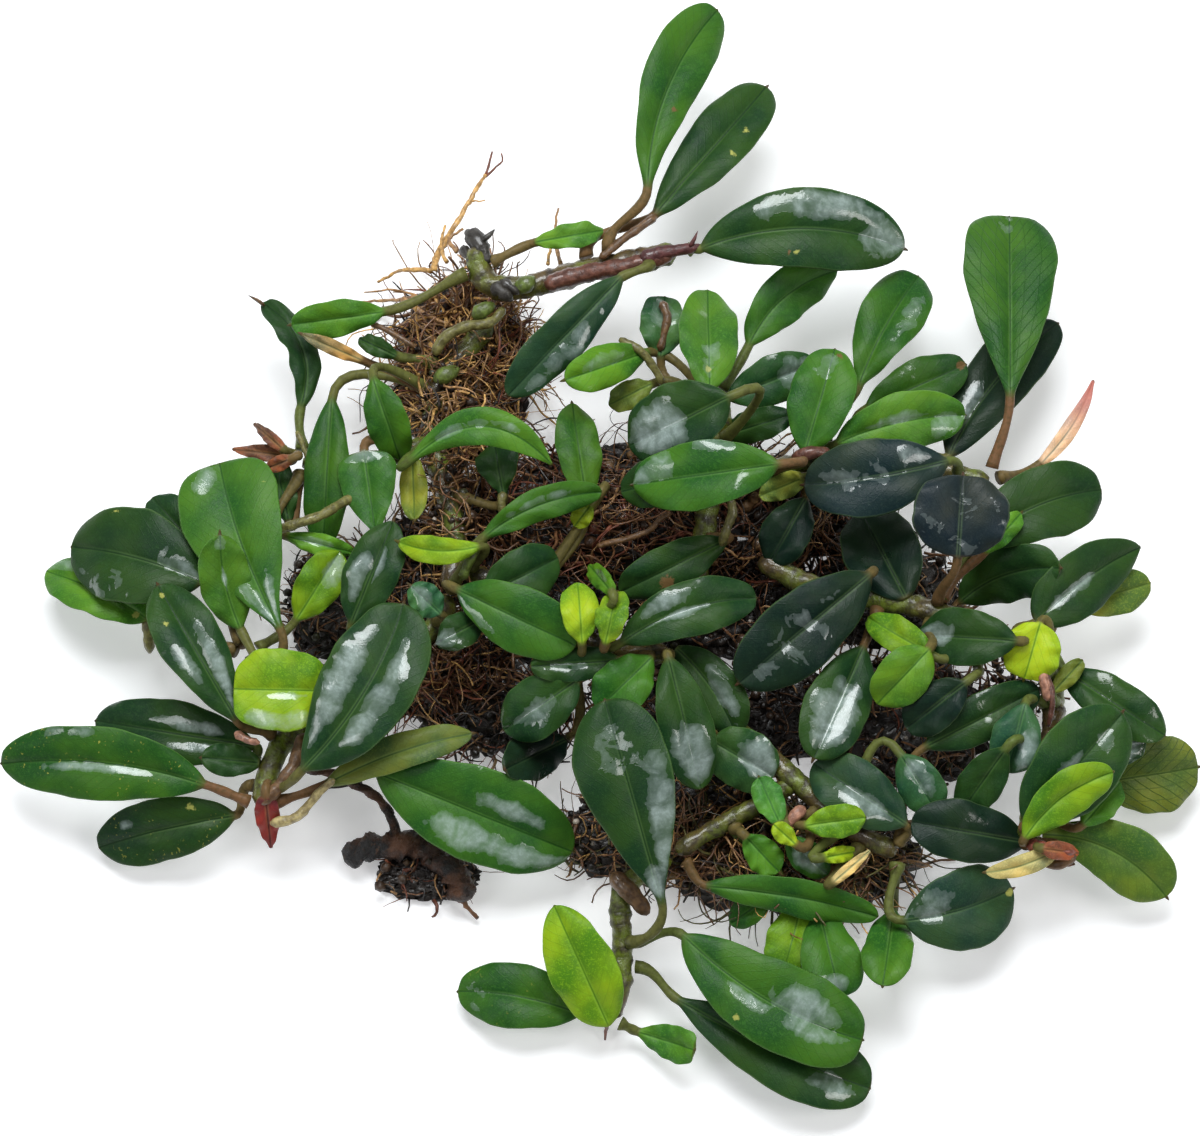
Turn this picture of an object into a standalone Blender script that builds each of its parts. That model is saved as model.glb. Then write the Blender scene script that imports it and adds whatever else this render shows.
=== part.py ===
"""A loose clump of bucephalandra, an aquarium plant, lying on a flat surface.

Creeping rhizomes fork and tangle over mats of roots, and leathery leaves grow from them on stalks.
The clump is laid out as it shows to someone who looks down on it from a little in front. A place is
given as (across, down, height): across and down on a sheet with 8 dots to the millimetre, and the
height above the surface in millimetres. spot() turns it into the clump's own frame.
"""

import math

import bmesh
import bpy
import numpy as np
from mathutils import Vector, noise

MM = 0.001
DOTS_PER_MM = 8.0
SHEET_MIDDLE = (600.0, 552.0)
VIEW_ELEVATION = math.radians(75.0)
CLUMP_MIDDLE = (0.0, -2.1)  # mm, what spot() takes off so that the origin is under the clump's middle

GAP = 0.32  # mm, between pieces that touch
LAY_GAP = 0.45  # mm, between a leaf and what it lies over

STALK_RADIUS = 0.6
# How far a stalk may hold its direction at each end, as part of its length: the widest bend is taken.
STALK_PULLS = (0.12, 0.25, 0.4, 0.6, 0.85)
PULL_SAMPLES = 20
SHORT_STALK = 1.6  # mm, below which a blade sits on its rhizome without a stalk
TIP_RADIUS = 0.25
BLADE_THICKNESS = 0.8
BLADE_FOLD = 0.12  # slope of the blade's halves up from the midrib
BASE_POWER = 0.65  # 0.3 is a round base, 1 is a wedge
TIP_POWER = 0.5  # 0.3 is a broad blunt tip, 0.8 is pointed
ROLL_FROM = 0.25  # part of the blade over which its roll comes in
STALK_RINGS = 3
BLADE_RINGS = 7
# A leaf's section, as (part of the half breadth, part of the half thickness), round from an edge.
SECTION = ((-1, 0), (-0.4, -0.9), (0.4, -0.9), (1, 0), (0.5, 0.8), (0, 0.9), (-0.5, 0.8))

# How closely a leaf is sampled, along and across, to find its place, and to mark what it covers.
TRY_SAMPLES = (28, 9)
COVER_SAMPLES = (60, 25)
STALK_SAMPLES = 30
NEAR_BASE = 0.02  # the t from which the blade counts as clear of its own stalk

NODE_WAIST = 0.08  # how much thinner a rhizome is between its nodes
RUN_STEP = 3.2  # mm between the points of a rhizome
ROOT_SEGMENTS = (18, 10)
ROOT_LUMP = 0.16  # how uneven the outline of a root mat is
ROOT_LUMPS = 2.2  # lumps to a mat's half length
ROOT_SHOULDER = 0.75  # below 1 the mat is flatter on top than a dome
WELD_DISTANCE = 0.00001
SHARP_ANGLE = math.radians(50)

LEAF_GREEN = (0.035, 0.13, 0.022, 1.0)
RHIZOME_GREEN = (0.22, 0.24, 0.05, 1.0)
ROOT_BROWN = (0.10, 0.055, 0.025, 1.0)
DEAD_BLACK = (0.02, 0.016, 0.014, 1.0)

# The view's own axes: to the right, up the sheet, and toward whoever looks.
RIGHT = np.array((1.0, 0.0, 0.0))
UP = np.array((0.0, math.sin(VIEW_ELEVATION), math.cos(VIEW_ELEVATION)))
NEAR = np.array((0.0, -math.cos(VIEW_ELEVATION), math.sin(VIEW_ELEVATION)))

# Each rhizome: radius in mm, its run, and its side shoots as (radius, run).
RHIZOMES = {
    "rhizome_top": (
        1.6,
        ((472, 246, 13), (488, 282, 12), (522, 286, 12), (566, 275, 12.5), (612, 264, 13),
         (650, 257, 14), (676, 250, 14.5)),
        (),
    ),
    "rhizome_neck": (
        1.45,
        ((488, 318, 9), (470, 345, 9), (445, 372, 9), (432, 415, 9), (440, 475, 9),
         (455, 530, 9.5), (450, 588, 10)),
        ((1.2, ((434, 440, 9), (390, 456, 9.5), (345, 468, 10), (302, 462, 10.5))),),
    ),
    "rhizome_west": (
        1.5,
        ((447, 595, 9.9), (438, 622, 9.3), (405, 650, 9), (350, 690, 9), (300, 722, 9.5), (272, 765, 9.5),
         (264, 806, 9)),
        ((1.2, ((300, 722, 9.5), (268, 690, 11), (250, 655, 12.5))),),
    ),
    "rhizome_middle": (
        1.4,
        ((471, 572, 9.6), (530, 600, 9.5), (585, 640, 10.5), (640, 655, 12.5), (668, 652, 14)),
        (),
    ),
    "rhizome_east": (
        1.5,
        ((658, 636, 9.3), (690, 590, 9), (703, 540, 9), (712, 480, 9.5), (722, 435, 11), (718, 402, 13)),
        ((1.3, ((711, 485, 9.5), (755, 475, 10.5), (800, 463, 11.5), (860, 455, 12),
                (930, 468, 12.5), (988, 482, 13.5))),),
    ),
    "rhizome_far_east": (
        1.5,
        ((760, 560, 9), (820, 590, 9.5), (880, 600, 10.5), (935, 612, 12.5), (985, 640, 12.5),
         (1035, 655, 12.5), (1052, 700, 10), (1045, 760, 8.5), (1030, 810, 8.5), (1027, 838, 9.5)),
        (),
    ),
    "rhizome_south": (
        1.4,
        ((664, 669, 10.2), (690, 690, 9.2), (730, 725, 9), (770, 758, 10), (821, 803, 10.5), (862, 835, 9.5),
         (895, 850, 8.5)),
        ((1.2, ((795, 780, 10.2), (750, 808, 9.5), (711, 829, 9), (676, 850, 8.8))),),
    ),
    "rhizome_bottom": (
        1.4,
        ((669, 856, 8.6), (650, 868, 8), (622, 890, 7.5), (622, 940, 6), (620, 985, 4.5), (610, 1016, 3.6)),
        (),
    ),
    "dead_rhizome": (
        1.7,
        ((343, 856, 2.4), (372, 848, 2.6), (415, 845, 3), (450, 868, 2.8), (468, 900, 2.2)),
        ((0.6, ((400, 846, 3), (385, 805, 5), (345, 778, 7), (296, 764, 8.3))),),
    ),
}

# Each mat of roots: middle (across, down), half length and half breadth and height in mm.
ROOT_MASSES = {
    "root_mass_upper": ((462, 372), 8.5, 12.0, 7.1),
    "root_mass_middle": ((650, 520), 26.0, 9.5, 7.0),
    "root_mass_west": ((430, 668), 8.5, 6.5, 7.0),
    "root_mass_south": ((790, 860), 16.0, 7.0, 6.9),
}

# Each leaf, from the lowest to the highest: name, the rhizome it grows from, where its stalk starts
# (across, down), the places of its blade's base and tip, the blade's breadth and the height of its
# arch in mm, its roll in degrees, positive with its left edge up, and how its form differs.
LEAVES = (
    ("leaf_left_2", "rhizome_west", (250, 658), (147, 619, 8), (45, 572, 4), 7.4, 1.4, 26, {"bend": -0.6}),
    ("leaf_front_5", "rhizome_bottom", (622, 962), (679, 998, 5), (868, 1085, 3), 9.6, 2.0, -9,
     {"bend": -0.6, "base": 0.85, "tip": 0.42}),
    ("leaf_right_6", "rhizome_far_east", (1050, 770), (1100, 782, 6), (1197, 767, 4), 10, 1.2, 9, {}),
    ("leaf_left_11", "rhizome_west", (262, 795), (235, 815, 7), (100, 847, 2), 8.3, 1.8, -14,
     {"bend": -0.4}),
    ("leaf_left_10", "rhizome_west", (272, 755), (255, 745, 9), (96, 721, 4), 8.2, 1.9, 8, {}),
    ("leaf_front_2", "rhizome_bottom", (618, 995), (579, 1011, 4), (459, 990, 2), 8.3, 1.2, 11,
     {"bend": -0.8}),
    ("leaf_top_2", "rhizome_top", (585, 268), (656, 212, 13), (768, 82, 8), 7.9, 1.8, -14,
     {"base": 0.75, "tip": 0.42}),
    ("leaf_top_6", "rhizome_east", (718, 408), (750, 343, 12), (838, 268, 9), 6.5, 1.2, 14, {"bend": 1.6}),
    ("leaf_top_23", "rhizome_east", (930, 468), (950, 455, 11), (1061, 322, 7), 8.4, 1.2, -16,
     {"bend": 1.4}),
    ("leaf_right_5", "rhizome_far_east", (1028, 832), (1050, 829, 9), (1164, 895, 4), 8.4, 1.3, 9,
     {"bend": 2.1, "base": 0.9, "tip": 0.45}),
    ("leaf_right_4", "rhizome_far_east", (1046, 655), (1062, 670, 11), (1162, 735, 7), 6.4, 1.2, -14, {}),
    ("leaf_right_3", "rhizome_far_east", (1010, 645), (1035, 622, 13), (1140, 547, 9), 8.2, 1.2, 14,
     {"bend": 0.8, "base": 0.55, "tip": 0.7}),
    ("leaf_left_1", "rhizome_west", (250, 658), (203, 582, 13), (71, 547, 7), 12.3, 2.0, 8, {"bend": -0.8}),
    ("leaf_left_9", "rhizome_west", (264, 806), (206, 783, 11), (3, 763, 6), 9.3, 2.1, -8, {"bend": -1.4}),
    ("leaf_upper_left_2", "rhizome_neck", (302, 462), (300, 405, 9), (260, 302, 8), 4.6, 1.2, 30,
     {"bend": -2.6}),
    ("leaf_upper_left_1", "rhizome_top", (474, 262), (381, 311, 13), (291, 324, 10), 4.8, 1.2, -15, {}),
    ("leaf_left_3", "rhizome_west", (256, 668), (281, 627, 16), (220, 464, 14), 13.1, 1.6, -6,
     {"base": 1.05, "tip": 0.32, "bend": 0.8}),
    ("leaf_left_6", "rhizome_west", (272, 742), (238, 718, 14), (160, 586, 14), 8.1, 1.8, 12,
     {"base": 0.8}),
    ("leaf_left_7", "rhizome_west", (325, 708), (331, 690, 15), (237, 688, 15), 10.3, 1.5, 4,
     {"base": 0.35, "tip": 0.3}),
    ("leaf_centre_5", "rhizome_west", (405, 650), (353, 622, 15), (394, 522, 18), 7.0, 1.2, -10,
     {"tip": 0.6}),
    ("leaf_left_13", "rhizome_west", (300, 722), (379, 772, 11), (572, 850, 6), 12.1, 2.4, 9, {}),
    ("leaf_left_8", "rhizome_west", (266, 795), (306, 767, 14), (405, 604, 19), 12.2, 2.0, -10,
     {"base": 0.75, "bend": -1.5}),
    ("leaf_front_6", "rhizome_south", (676, 850), (707, 884, 9), (876, 914, 7), 5.0, 1.6, 18,
     {"bend": 0.6}),
    ("leaf_front_1", "rhizome_bottom", (610, 1012), (606, 1025, 6), (555, 903, 12), 8.5, 1.6, -8,
     {"base": 0.5, "tip": 0.6}),
    ("leaf_front_4", "rhizome_bottom", (622, 930), (684, 934, 9), (860, 1036, 6), 11.0, 2.2, -6,
     {"bend": -1.6, "base": 0.6, "tip": 0.33}),
    ("leaf_front_7", "rhizome_south", (890, 848), (903, 918, 8), (1010, 888, 5), 10.3, 1.8, 8,
     {"bend": -0.6}),
    ("leaf_right_7", "rhizome_far_east", (1027, 838), (1022, 822, 13), (1118, 712, 15), 11.0, 1.6, 12, {}),
    ("leaf_top_5", "rhizome_top", (650, 258), (620, 278, 17), (508, 395, 15), 6.2, 1.8, -12, {}),
    ("leaf_top_1", "rhizome_top", (618, 262), (648, 185, 16), (718, 4, 11), 8.0, 1.9, 12,
     {"bend": 2.2, "base": 0.9, "tip": 0.4}),
    ("leaf_top_3", "rhizome_top", (676, 250), (703, 247, 16), (905, 247, 13), 10.4, 2.3, -9, {"bend": 2.4}),
    ("leaf_top_11", "rhizome_east", (718, 402), (703, 382, 14), (708, 290, 12), 7.6, 1.2, 10, {}),
    ("leaf_top_7", "rhizome_east", (842, 458), (860, 384, 12), (920, 275, 9), 8.1, 1.6, -10,
     {"bend": 0.6, "base": 0.85, "tip": 0.42}),
    ("leaf_top_22", "rhizome_east", (988, 482), (1010, 396, 16), (1012, 215, 11), 11.9, 1.7, 5,
     {"base": 0.95, "tip": 0.3}),
    ("leaf_top_25", "rhizome_east", (838, 458), (838, 443, 15), (965, 415, 13), 7.4, 1.2, 10,
     {"bend": 0.9}),
    ("leaf_top_8", "rhizome_east", (805, 463), (805, 452, 16), (835, 350, 16), 8.2, 1.3, -8, {}),
    ("leaf_top_15", "rhizome_east", (722, 430), (728, 398, 17), (630, 446, 17), 10.1, 1.5, 12, {}),
    ("leaf_right_2", "rhizome_far_east", (860, 598), (868, 575, 16), (738, 682, 15), 9.9, 1.8, -10, {}),
    ("leaf_top_16", "rhizome_east", (780, 470), (776, 465, 18), (634, 485, 18), 8.6, 1.5, 8, {}),
    ("leaf_top_20", "rhizome_far_east", (935, 612), (977, 544, 14), (1101, 490, 11), 9.4, 1.6, -8,
     {"bend": 1.4, "tip": 0.4}),
    ("leaf_top_18", "rhizome_east", (960, 475), (945, 462, 18), (804, 485, 17), 9.8, 1.7, 10,
     {"bend": 0.5}),
    ("leaf_top_19", "rhizome_far_east", (925, 608), (955, 556, 22), (960, 477, 24), 12.1, 1.2, 3,
     {"base": 0.45, "tip": 0.4}),
    ("leaf_centre_2", "rhizome_middle", (620, 652), (623, 641, 18), (755, 598, 17), 7.1, 1.5, -10,
     {"bend": 1.3}),
    ("leaf_centre_4", "rhizome_middle", (600, 648), (578, 679, 16), (505, 729, 12), 7.6, 1.2, 8, {}),
    ("leaf_centre_3", "rhizome_middle", (665, 652), (668, 658, 18), (700, 787, 13), 7.0, 1.3, -12, {}),
    ("leaf_centre_1", "rhizome_neck", (455, 580), (460, 590, 18), (576, 645, 18), 8.4, 1.3, 8, {}),
    ("leaf_upper_left_3", "rhizome_neck", (436, 455), (415, 457, 17), (551, 464, 18), 4.8, 1.5, 0,
     {"bend": 4.2, "base": 0.9, "tip": 0.85}),
    ("leaf_centre_6", "rhizome_bottom", (622, 945), (661, 898, 14), (605, 699, 22), 12.0, 2.4, -7,
     {"base": 1.1}),
)


def spot(place):
    """A place (across, down, height) in the clump's frame, in mm."""
    across, down, height = place
    x = (across - SHEET_MIDDLE[0]) / DOTS_PER_MM
    up_sheet = (SHEET_MIDDLE[1] - down) / DOTS_PER_MM
    y = (up_sheet - height * math.cos(VIEW_ELEVATION)) / math.sin(VIEW_ELEVATION)
    return np.array((x - CLUMP_MIDDLE[0], y - CLUMP_MIDDLE[1], height))


def unit(vector):
    return vector / np.linalg.norm(vector)


def smooth_run(places):
    """Points about RUN_STEP apart on a smooth curve through the places."""
    through = [spot(place) for place in places]
    ends = [2 * through[0] - through[1], 2 * through[-1] - through[-2]]
    knots = [ends[0], *through, ends[1]]
    points = []
    for a, b, c, d in zip(knots, knots[1:], knots[2:], knots[3:]):
        pieces = max(1, round(np.linalg.norm(c - b) / RUN_STEP))
        for i in range(pieces):
            t = i / pieces
            points.append(
                0.5 * (2 * b + (c - a) * t + (2 * a - 5 * b + 4 * c - d) * t**2
                       + (3 * b - a - 3 * c + d) * t**3)
            )
    points.append(through[-1])
    return points


class Cover:
    """How far toward the viewer the pieces laid so far reach, on a grid over the sheet."""

    CELL = 0.6
    HALF = 90.0

    def __init__(self):
        self.side = int(2 * self.HALF / self.CELL)
        rows = (np.arange(self.side) + 0.5) * self.CELL - self.HALF
        ground = -rows / math.tan(VIEW_ELEVATION)
        self.near = np.repeat(ground[None, :], self.side, axis=0)

    def cells(self, points):
        across = ((points @ RIGHT + self.HALF) / self.CELL).astype(int)
        up_sheet = ((points @ UP + self.HALF) / self.CELL).astype(int)
        return across, up_sheet

    def top(self, points):
        return self.near[self.cells(points)]

    def add(self, points, thickness):
        np.maximum.at(self.near, self.cells(points), points @ NEAR + thickness)


class Leaf:
    """One leaf: a stalk that leaves its rhizome, and a blade laid over what is below it."""

    def __init__(self, row, runs):
        self.name, stem, foot, base, tip, self.breadth, self.arch, roll, form = row
        self.base = spot(base)
        self.tip = spot(tip)
        self.bend = form.get("bend", 0.0)
        self.roll = math.radians(roll)
        self.base_power = form.get("base", BASE_POWER)
        self.tip_power = form.get("tip", TIP_POWER)
        self.rise = (0.0, 0.0)
        self.pulls = (STALK_PULLS[0], STALK_PULLS[0])
        self.start_on(runs[stem], RHIZOMES[stem][0], spot((*foot, 0)))
        if np.linalg.norm(self.base - self.foot) < SHORT_STALK:
            self.base = self.foot

    def start_on(self, runs, radius, foot):
        """Starts the stalk on the skin of the rhizome or its shoot, where the foot is seen on it."""
        _, number, nearest = min(
            (math.hypot((point - foot) @ RIGHT, (point - foot) @ UP), number, i)
            for number, points in enumerate(runs) for i, point in enumerate(points)
        )
        points = runs[number]
        along = unit(points[min(nearest + 1, len(points) - 1)] - points[max(nearest - 1, 0)])
        toward = self.base - points[nearest]
        at_end = nearest == len(points) - 1 or (nearest == 0 and number == 0)
        if not at_end:
            toward = toward - along * (toward @ along)
        self.way = unit(toward)
        self.foot = points[nearest] + self.way * (radius + GAP)

    def middle(self, t):
        """The blade's midrib at t, from 0 at its base to 1 at its tip."""
        run = self.tip - self.base
        side = unit(np.cross(NEAR, run))
        swell = 4 * t * (1 - t)
        lift = self.rise[0] * (1 - t) + self.rise[1] * t
        return self.base + run * t + side * (self.bend * swell) + NEAR * (self.arch * swell + lift)

    def half_breadth(self, t):
        peak = self.base_power / (self.base_power + self.tip_power)
        full = peak**self.base_power * (1 - peak) ** self.tip_power
        shape = t**self.base_power * (1 - t) ** self.tip_power / full
        core = STALK_RADIUS + (TIP_RADIUS - STALK_RADIUS) * t
        return math.hypot(self.breadth / 2 * shape, core)

    def station(self, t):
        """The blade's centre, side and face directions and half breadth at t."""
        step = 0.01
        along = unit(self.middle(min(t + step, 1)) - self.middle(max(t - step, 0)))
        flat = unit(np.cross(NEAR, along))
        up = np.cross(along, flat)
        roll = self.roll * min(1, t / ROLL_FROM)
        side = flat * math.cos(roll) + up * math.sin(roll)
        return self.middle(t), side, np.cross(along, side), self.half_breadth(t)

    def stalk_point(self, t):
        """The stalk's centre and direction at t, from 0 at its foot."""
        base = self.middle(0.0)
        length = np.linalg.norm(base - self.foot)
        leave = self.foot + self.way * (self.pulls[0] * length)
        arrive = base - unit(self.middle(NEAR_BASE) - base) * (self.pulls[1] * length)
        centre = (self.foot * (1 - t) ** 3 + 3 * leave * t * (1 - t) ** 2
                  + 3 * arrive * t**2 * (1 - t) + base * t**3)
        along = unit((leave - self.foot) * (1 - t) ** 2 + 2 * (arrive - leave) * t * (1 - t)
                     + (base - arrive) * t**2)
        return centre, along

    def stalk_stations(self, times):
        """Centre, side and face directions and radius at the times, carried down from the blade."""
        side = self.station(0.0)[1]
        stations = []
        for t in reversed(times):
            centre, along = self.stalk_point(t)
            side = unit(side - along * (side @ along))
            stations.insert(0, (centre, side, np.cross(along, side), STALK_RADIUS))
        return stations

    def tightest_bend(self):
        """The smallest radius to which the stalk bends."""
        times = np.linspace(0, 1, PULL_SAMPLES)
        steps = np.diff([self.stalk_point(t)[0] for t in times], axis=0)
        lengths = np.linalg.norm(steps, axis=1)
        ways = steps / lengths[:, None]
        turns = np.arccos(np.clip((ways[1:] * ways[:-1]).sum(axis=1), -1, 1))
        return (lengths[1:] / np.maximum(turns, 1e-6)).min()

    def ease_stalk(self):
        """Takes the pulls that give the stalk its widest bend."""
        best = (0.0, self.pulls)
        for leave in STALK_PULLS:
            for arrive in STALK_PULLS:
                self.pulls = (leave, arrive)
                best = max(best, (self.tightest_bend(), self.pulls))
        self.pulls = best[1]

    def surface(self, samples):
        """Points all over the blade's face, with their t."""
        stations, columns = samples
        points = []
        places = []
        for t in np.linspace(NEAR_BASE, 1.0, stations):
            centre, side, face, half = self.station(t)
            for x in np.linspace(-1, 1, columns):
                points.append(centre + side * (half * x) + face * (BLADE_FOLD * half * abs(x)))
                places.append(t)
        return np.array(points), np.array(places)

    def lay_on(self, cover):
        """Raises base and tip just enough for the blade to clear all that lies below it."""
        points, places = self.surface(TRY_SAMPLES)
        under = cover.top(points) + LAY_GAP + BLADE_THICKNESS / 2 - points @ NEAR
        stations = np.unique(places)
        need = np.array([under[places == t].max() for t in stations])
        best = None
        for i, t_i in enumerate(stations):
            for j in range(i + 1, len(stations)):
                slope = (need[j] - need[i]) / (stations[j] - t_i)
                line = need[i] + slope * (stations - t_i)
                middle = need[i] + slope * (0.5 - t_i)
                if (line >= need - 1e-6).all() and (best is None or middle < best[0]):
                    best = (middle, need[i] - slope * t_i, need[i] + slope * (1 - t_i))
        self.rise = tuple(max(0.0, end) for end in best[1:])
        if need.max() <= 0:
            self.rise = (0.0, 0.0)
        self.has_stalk = np.linalg.norm(self.middle(0.0) - self.foot) >= SHORT_STALK
        points, _ = self.surface(COVER_SAMPLES)
        cover.add(points, BLADE_THICKNESS / 2)
        if not self.has_stalk:
            return
        self.ease_stalk()
        stalk = self.stalk_stations(np.linspace(0, 1, STALK_SAMPLES))
        for x in (-1, 0, 1):
            line = np.array([centre + side * (x * radius) for centre, side, _, radius in stalk])
            cover.add(line, STALK_RADIUS)

    def rings(self):
        """Closed sections from the stalk's foot to the blade's tip."""
        times = np.arange(STALK_RINGS) / STALK_RINGS if self.has_stalk else ()
        stations = [(*station, 0.0) for station in self.stalk_stations(times)]
        for i in range(BLADE_RINGS + 1):
            t = (1 - math.cos(math.pi * i / BLADE_RINGS)) / 2
            stations.append((*self.station(t), BLADE_FOLD * min(1, 4 * t)))
        rings = []
        for centre, side, face, half, fold in stations:
            thick = min(half, BLADE_THICKNESS / 2)
            ring = []
            for x, lift in SECTION:
                rise = fold * half * abs(x) + lift * thick
                ring.append(centre + side * (half * x) + face * rise)
            rings.append(ring)
        return rings


def clear_scene():
    for thing in list(bpy.data.objects):
        bpy.data.objects.remove(thing, do_unlink=True)


def make_material(name, colour, roughness):
    material = bpy.data.materials.new(name)
    material.use_nodes = True
    shader = material.node_tree.nodes["Principled BSDF"]
    shader.inputs["Base Color"].default_value = colour
    shader.inputs["Roughness"].default_value = roughness
    shader.inputs["Metallic"].default_value = 0.0
    return material


def add_mesh(name, mesh, collection, material):
    thing = bpy.data.objects.new(name, mesh)
    collection.objects.link(thing)
    mesh.materials.append(material)
    mesh.shade_smooth()
    mesh.set_sharp_from_angle(angle=SHARP_ANGLE)
    return thing


def leaf_object(leaf, collection, material):
    """A loft through the leaf's sections, closed at both ends."""
    shape = bmesh.new()
    rings = [[shape.verts.new(Vector(point) * MM) for point in ring] for ring in leaf.rings()]
    sides = len(rings[0])
    for ring, after in zip(rings, rings[1:]):
        for i in range(sides):
            j = (i + 1) % sides
            shape.faces.new((ring[i], ring[j], after[j], after[i]))
    shape.faces.new(rings[0])
    shape.faces.new(rings[-1])
    bmesh.ops.recalc_face_normals(shape, faces=shape.faces)
    mesh = bpy.data.meshes.new(leaf.name)
    shape.to_mesh(mesh)
    shape.free()
    return add_mesh(leaf.name, mesh, collection, material)


def tube_object(name, points, radius, collection):
    """A round tube along the points, a little thicker and thinner as it goes."""
    curve = bpy.data.curves.new(name, "CURVE")
    curve.dimensions = "3D"
    curve.bevel_depth = radius * MM
    curve.bevel_resolution = 2
    curve.use_fill_caps = True
    spline = curve.splines.new("POLY")
    spline.points.add(len(points) - 1)
    for i, (at, point) in enumerate(zip(spline.points, points)):
        at.co = (*(Vector(point) * MM), 1.0)
        at.radius = 1.0 - NODE_WAIST * (i % 2)
    thing = bpy.data.objects.new(name, curve)
    collection.objects.link(thing)
    return thing


def as_mesh(thing, name, collection):
    """The tube as a mesh object, with its caps welded to its sides."""
    graph = bpy.context.evaluated_depsgraph_get()
    mesh = bpy.data.meshes.new_from_object(thing.evaluated_get(graph))
    shape = bmesh.new()
    shape.from_mesh(mesh)
    bmesh.ops.remove_doubles(shape, verts=shape.verts, dist=WELD_DISTANCE)
    bmesh.ops.recalc_face_normals(shape, faces=shape.faces)
    shape.to_mesh(mesh)
    shape.free()
    made = bpy.data.objects.new(name, mesh)
    made.matrix_world = thing.matrix_world
    collection.objects.link(made)
    bpy.data.objects.remove(thing, do_unlink=True)
    return made


def rhizome_object(name, collection, cutters, material):
    """A rhizome with its side shoots joined on."""
    radius, run, shoots = RHIZOMES[name]
    body = tube_object(name + "_run", smooth_run(run), radius, collection)
    bpy.context.view_layer.update()
    body = as_mesh(body, name, collection)
    for number, (shoot_radius, shoot_run) in enumerate(shoots):
        label = f"{name}_shoot_{number}"
        shoot = tube_object(label + "_run", smooth_run(shoot_run), shoot_radius, cutters)
        bpy.context.view_layer.update()
        shoot = as_mesh(shoot, label, cutters)
        shoot.hide_render = True
        shoot.display_type = "WIRE"
        join = body.modifiers.new("join", "BOOLEAN")
        join.operation = "UNION"
        join.solver = "EXACT"
        join.object = shoot
    body.data.materials.append(material)
    body.data.shade_smooth()
    return body


def root_mass_object(name, collection, material):
    """A lumpy mat of roots, flat underneath."""
    (across, down), half_length, half_breadth, height = ROOT_MASSES[name]
    shape = bmesh.new()
    around, upward = ROOT_SEGMENTS
    bmesh.ops.create_uvsphere(shape, u_segments=around, v_segments=upward, radius=1.0)
    middle = spot((across, down, 0))
    for vert in shape.verts:
        lump = 1 + ROOT_LUMP * noise.noise(vert.co * ROOT_LUMPS + Vector((across, down, 0)))
        x = middle[0] + vert.co.x * half_length * lump
        y = middle[1] + vert.co.y * half_breadth * lump
        z = max(0.0, vert.co.z) ** ROOT_SHOULDER * height
        vert.co = Vector((x, y, z)) * MM
    bmesh.ops.recalc_face_normals(shape, faces=shape.faces)
    mesh = bpy.data.meshes.new(name)
    shape.to_mesh(mesh)
    shape.free()
    return add_mesh(name, mesh, collection, material)


def build():
    clear_scene()
    collection = bpy.data.collections.new("bucephalandra")
    cutters = bpy.data.collections.new("joined shoots")
    for made in (collection, cutters):
        bpy.context.scene.collection.children.link(made)
    green = make_material("leaf green", LEAF_GREEN, 0.3)
    stem = make_material("rhizome green", RHIZOME_GREEN, 0.45)
    brown = make_material("root brown", ROOT_BROWN, 0.8)
    black = make_material("dead black", DEAD_BLACK, 0.5)

    cover = Cover()
    runs = {}
    for name, (_, run, shoots) in RHIZOMES.items():
        runs[name] = [smooth_run(run), *(smooth_run(shoot_run) for _, shoot_run in shoots)]
        rhizome_object(name, collection, cutters, black if name == "dead_rhizome" else stem)
    for name in ROOT_MASSES:
        root_mass_object(name, collection, brown)
    for row in LEAVES:
        leaf = Leaf(row, runs)
        leaf.lay_on(cover)
        leaf_object(leaf, collection, green)


build()
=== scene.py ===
"""The looks of a loose clump of bucephalandra, an aquarium plant, lying on a pale surface.

The solids of the clump come from the frame. Every leaf, rhizome and root mat gets its fine form
here, in the place of its solid, and the smaller leaves, bracts, sheaths, old stems, loose roots
and soil are added. A place is given as (across, down, height), as in the clump's own source:
across and down on a sheet with 8 dots to the millimetre seen from above and a little in front,
and the height above the surface in millimetres. spot() turns it into the clump's frame, in
millimetres, and new_object() makes meshes in metres.
"""

import math

import bpy
import numpy as np
from mathutils import Matrix, Vector


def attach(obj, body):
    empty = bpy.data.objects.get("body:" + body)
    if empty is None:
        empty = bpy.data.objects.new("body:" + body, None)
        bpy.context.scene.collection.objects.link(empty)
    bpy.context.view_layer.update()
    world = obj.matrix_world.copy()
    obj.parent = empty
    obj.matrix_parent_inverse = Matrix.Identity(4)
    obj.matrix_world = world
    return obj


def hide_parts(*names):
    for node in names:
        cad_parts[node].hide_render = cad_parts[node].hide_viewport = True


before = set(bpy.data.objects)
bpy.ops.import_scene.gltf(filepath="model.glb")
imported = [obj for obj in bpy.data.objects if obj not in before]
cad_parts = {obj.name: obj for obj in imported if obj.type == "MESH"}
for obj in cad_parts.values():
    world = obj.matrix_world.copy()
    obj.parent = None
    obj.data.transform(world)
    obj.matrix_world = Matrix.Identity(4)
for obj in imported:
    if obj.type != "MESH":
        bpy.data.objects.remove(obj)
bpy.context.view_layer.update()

MM = 0.001
DOTS_PER_MM = 8.0
SHEET_MIDDLE = (600.0, 552.0)
VIEW_ELEVATION = math.radians(75.0)
CLUMP_MIDDLE = (0.0, -2.1)

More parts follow.
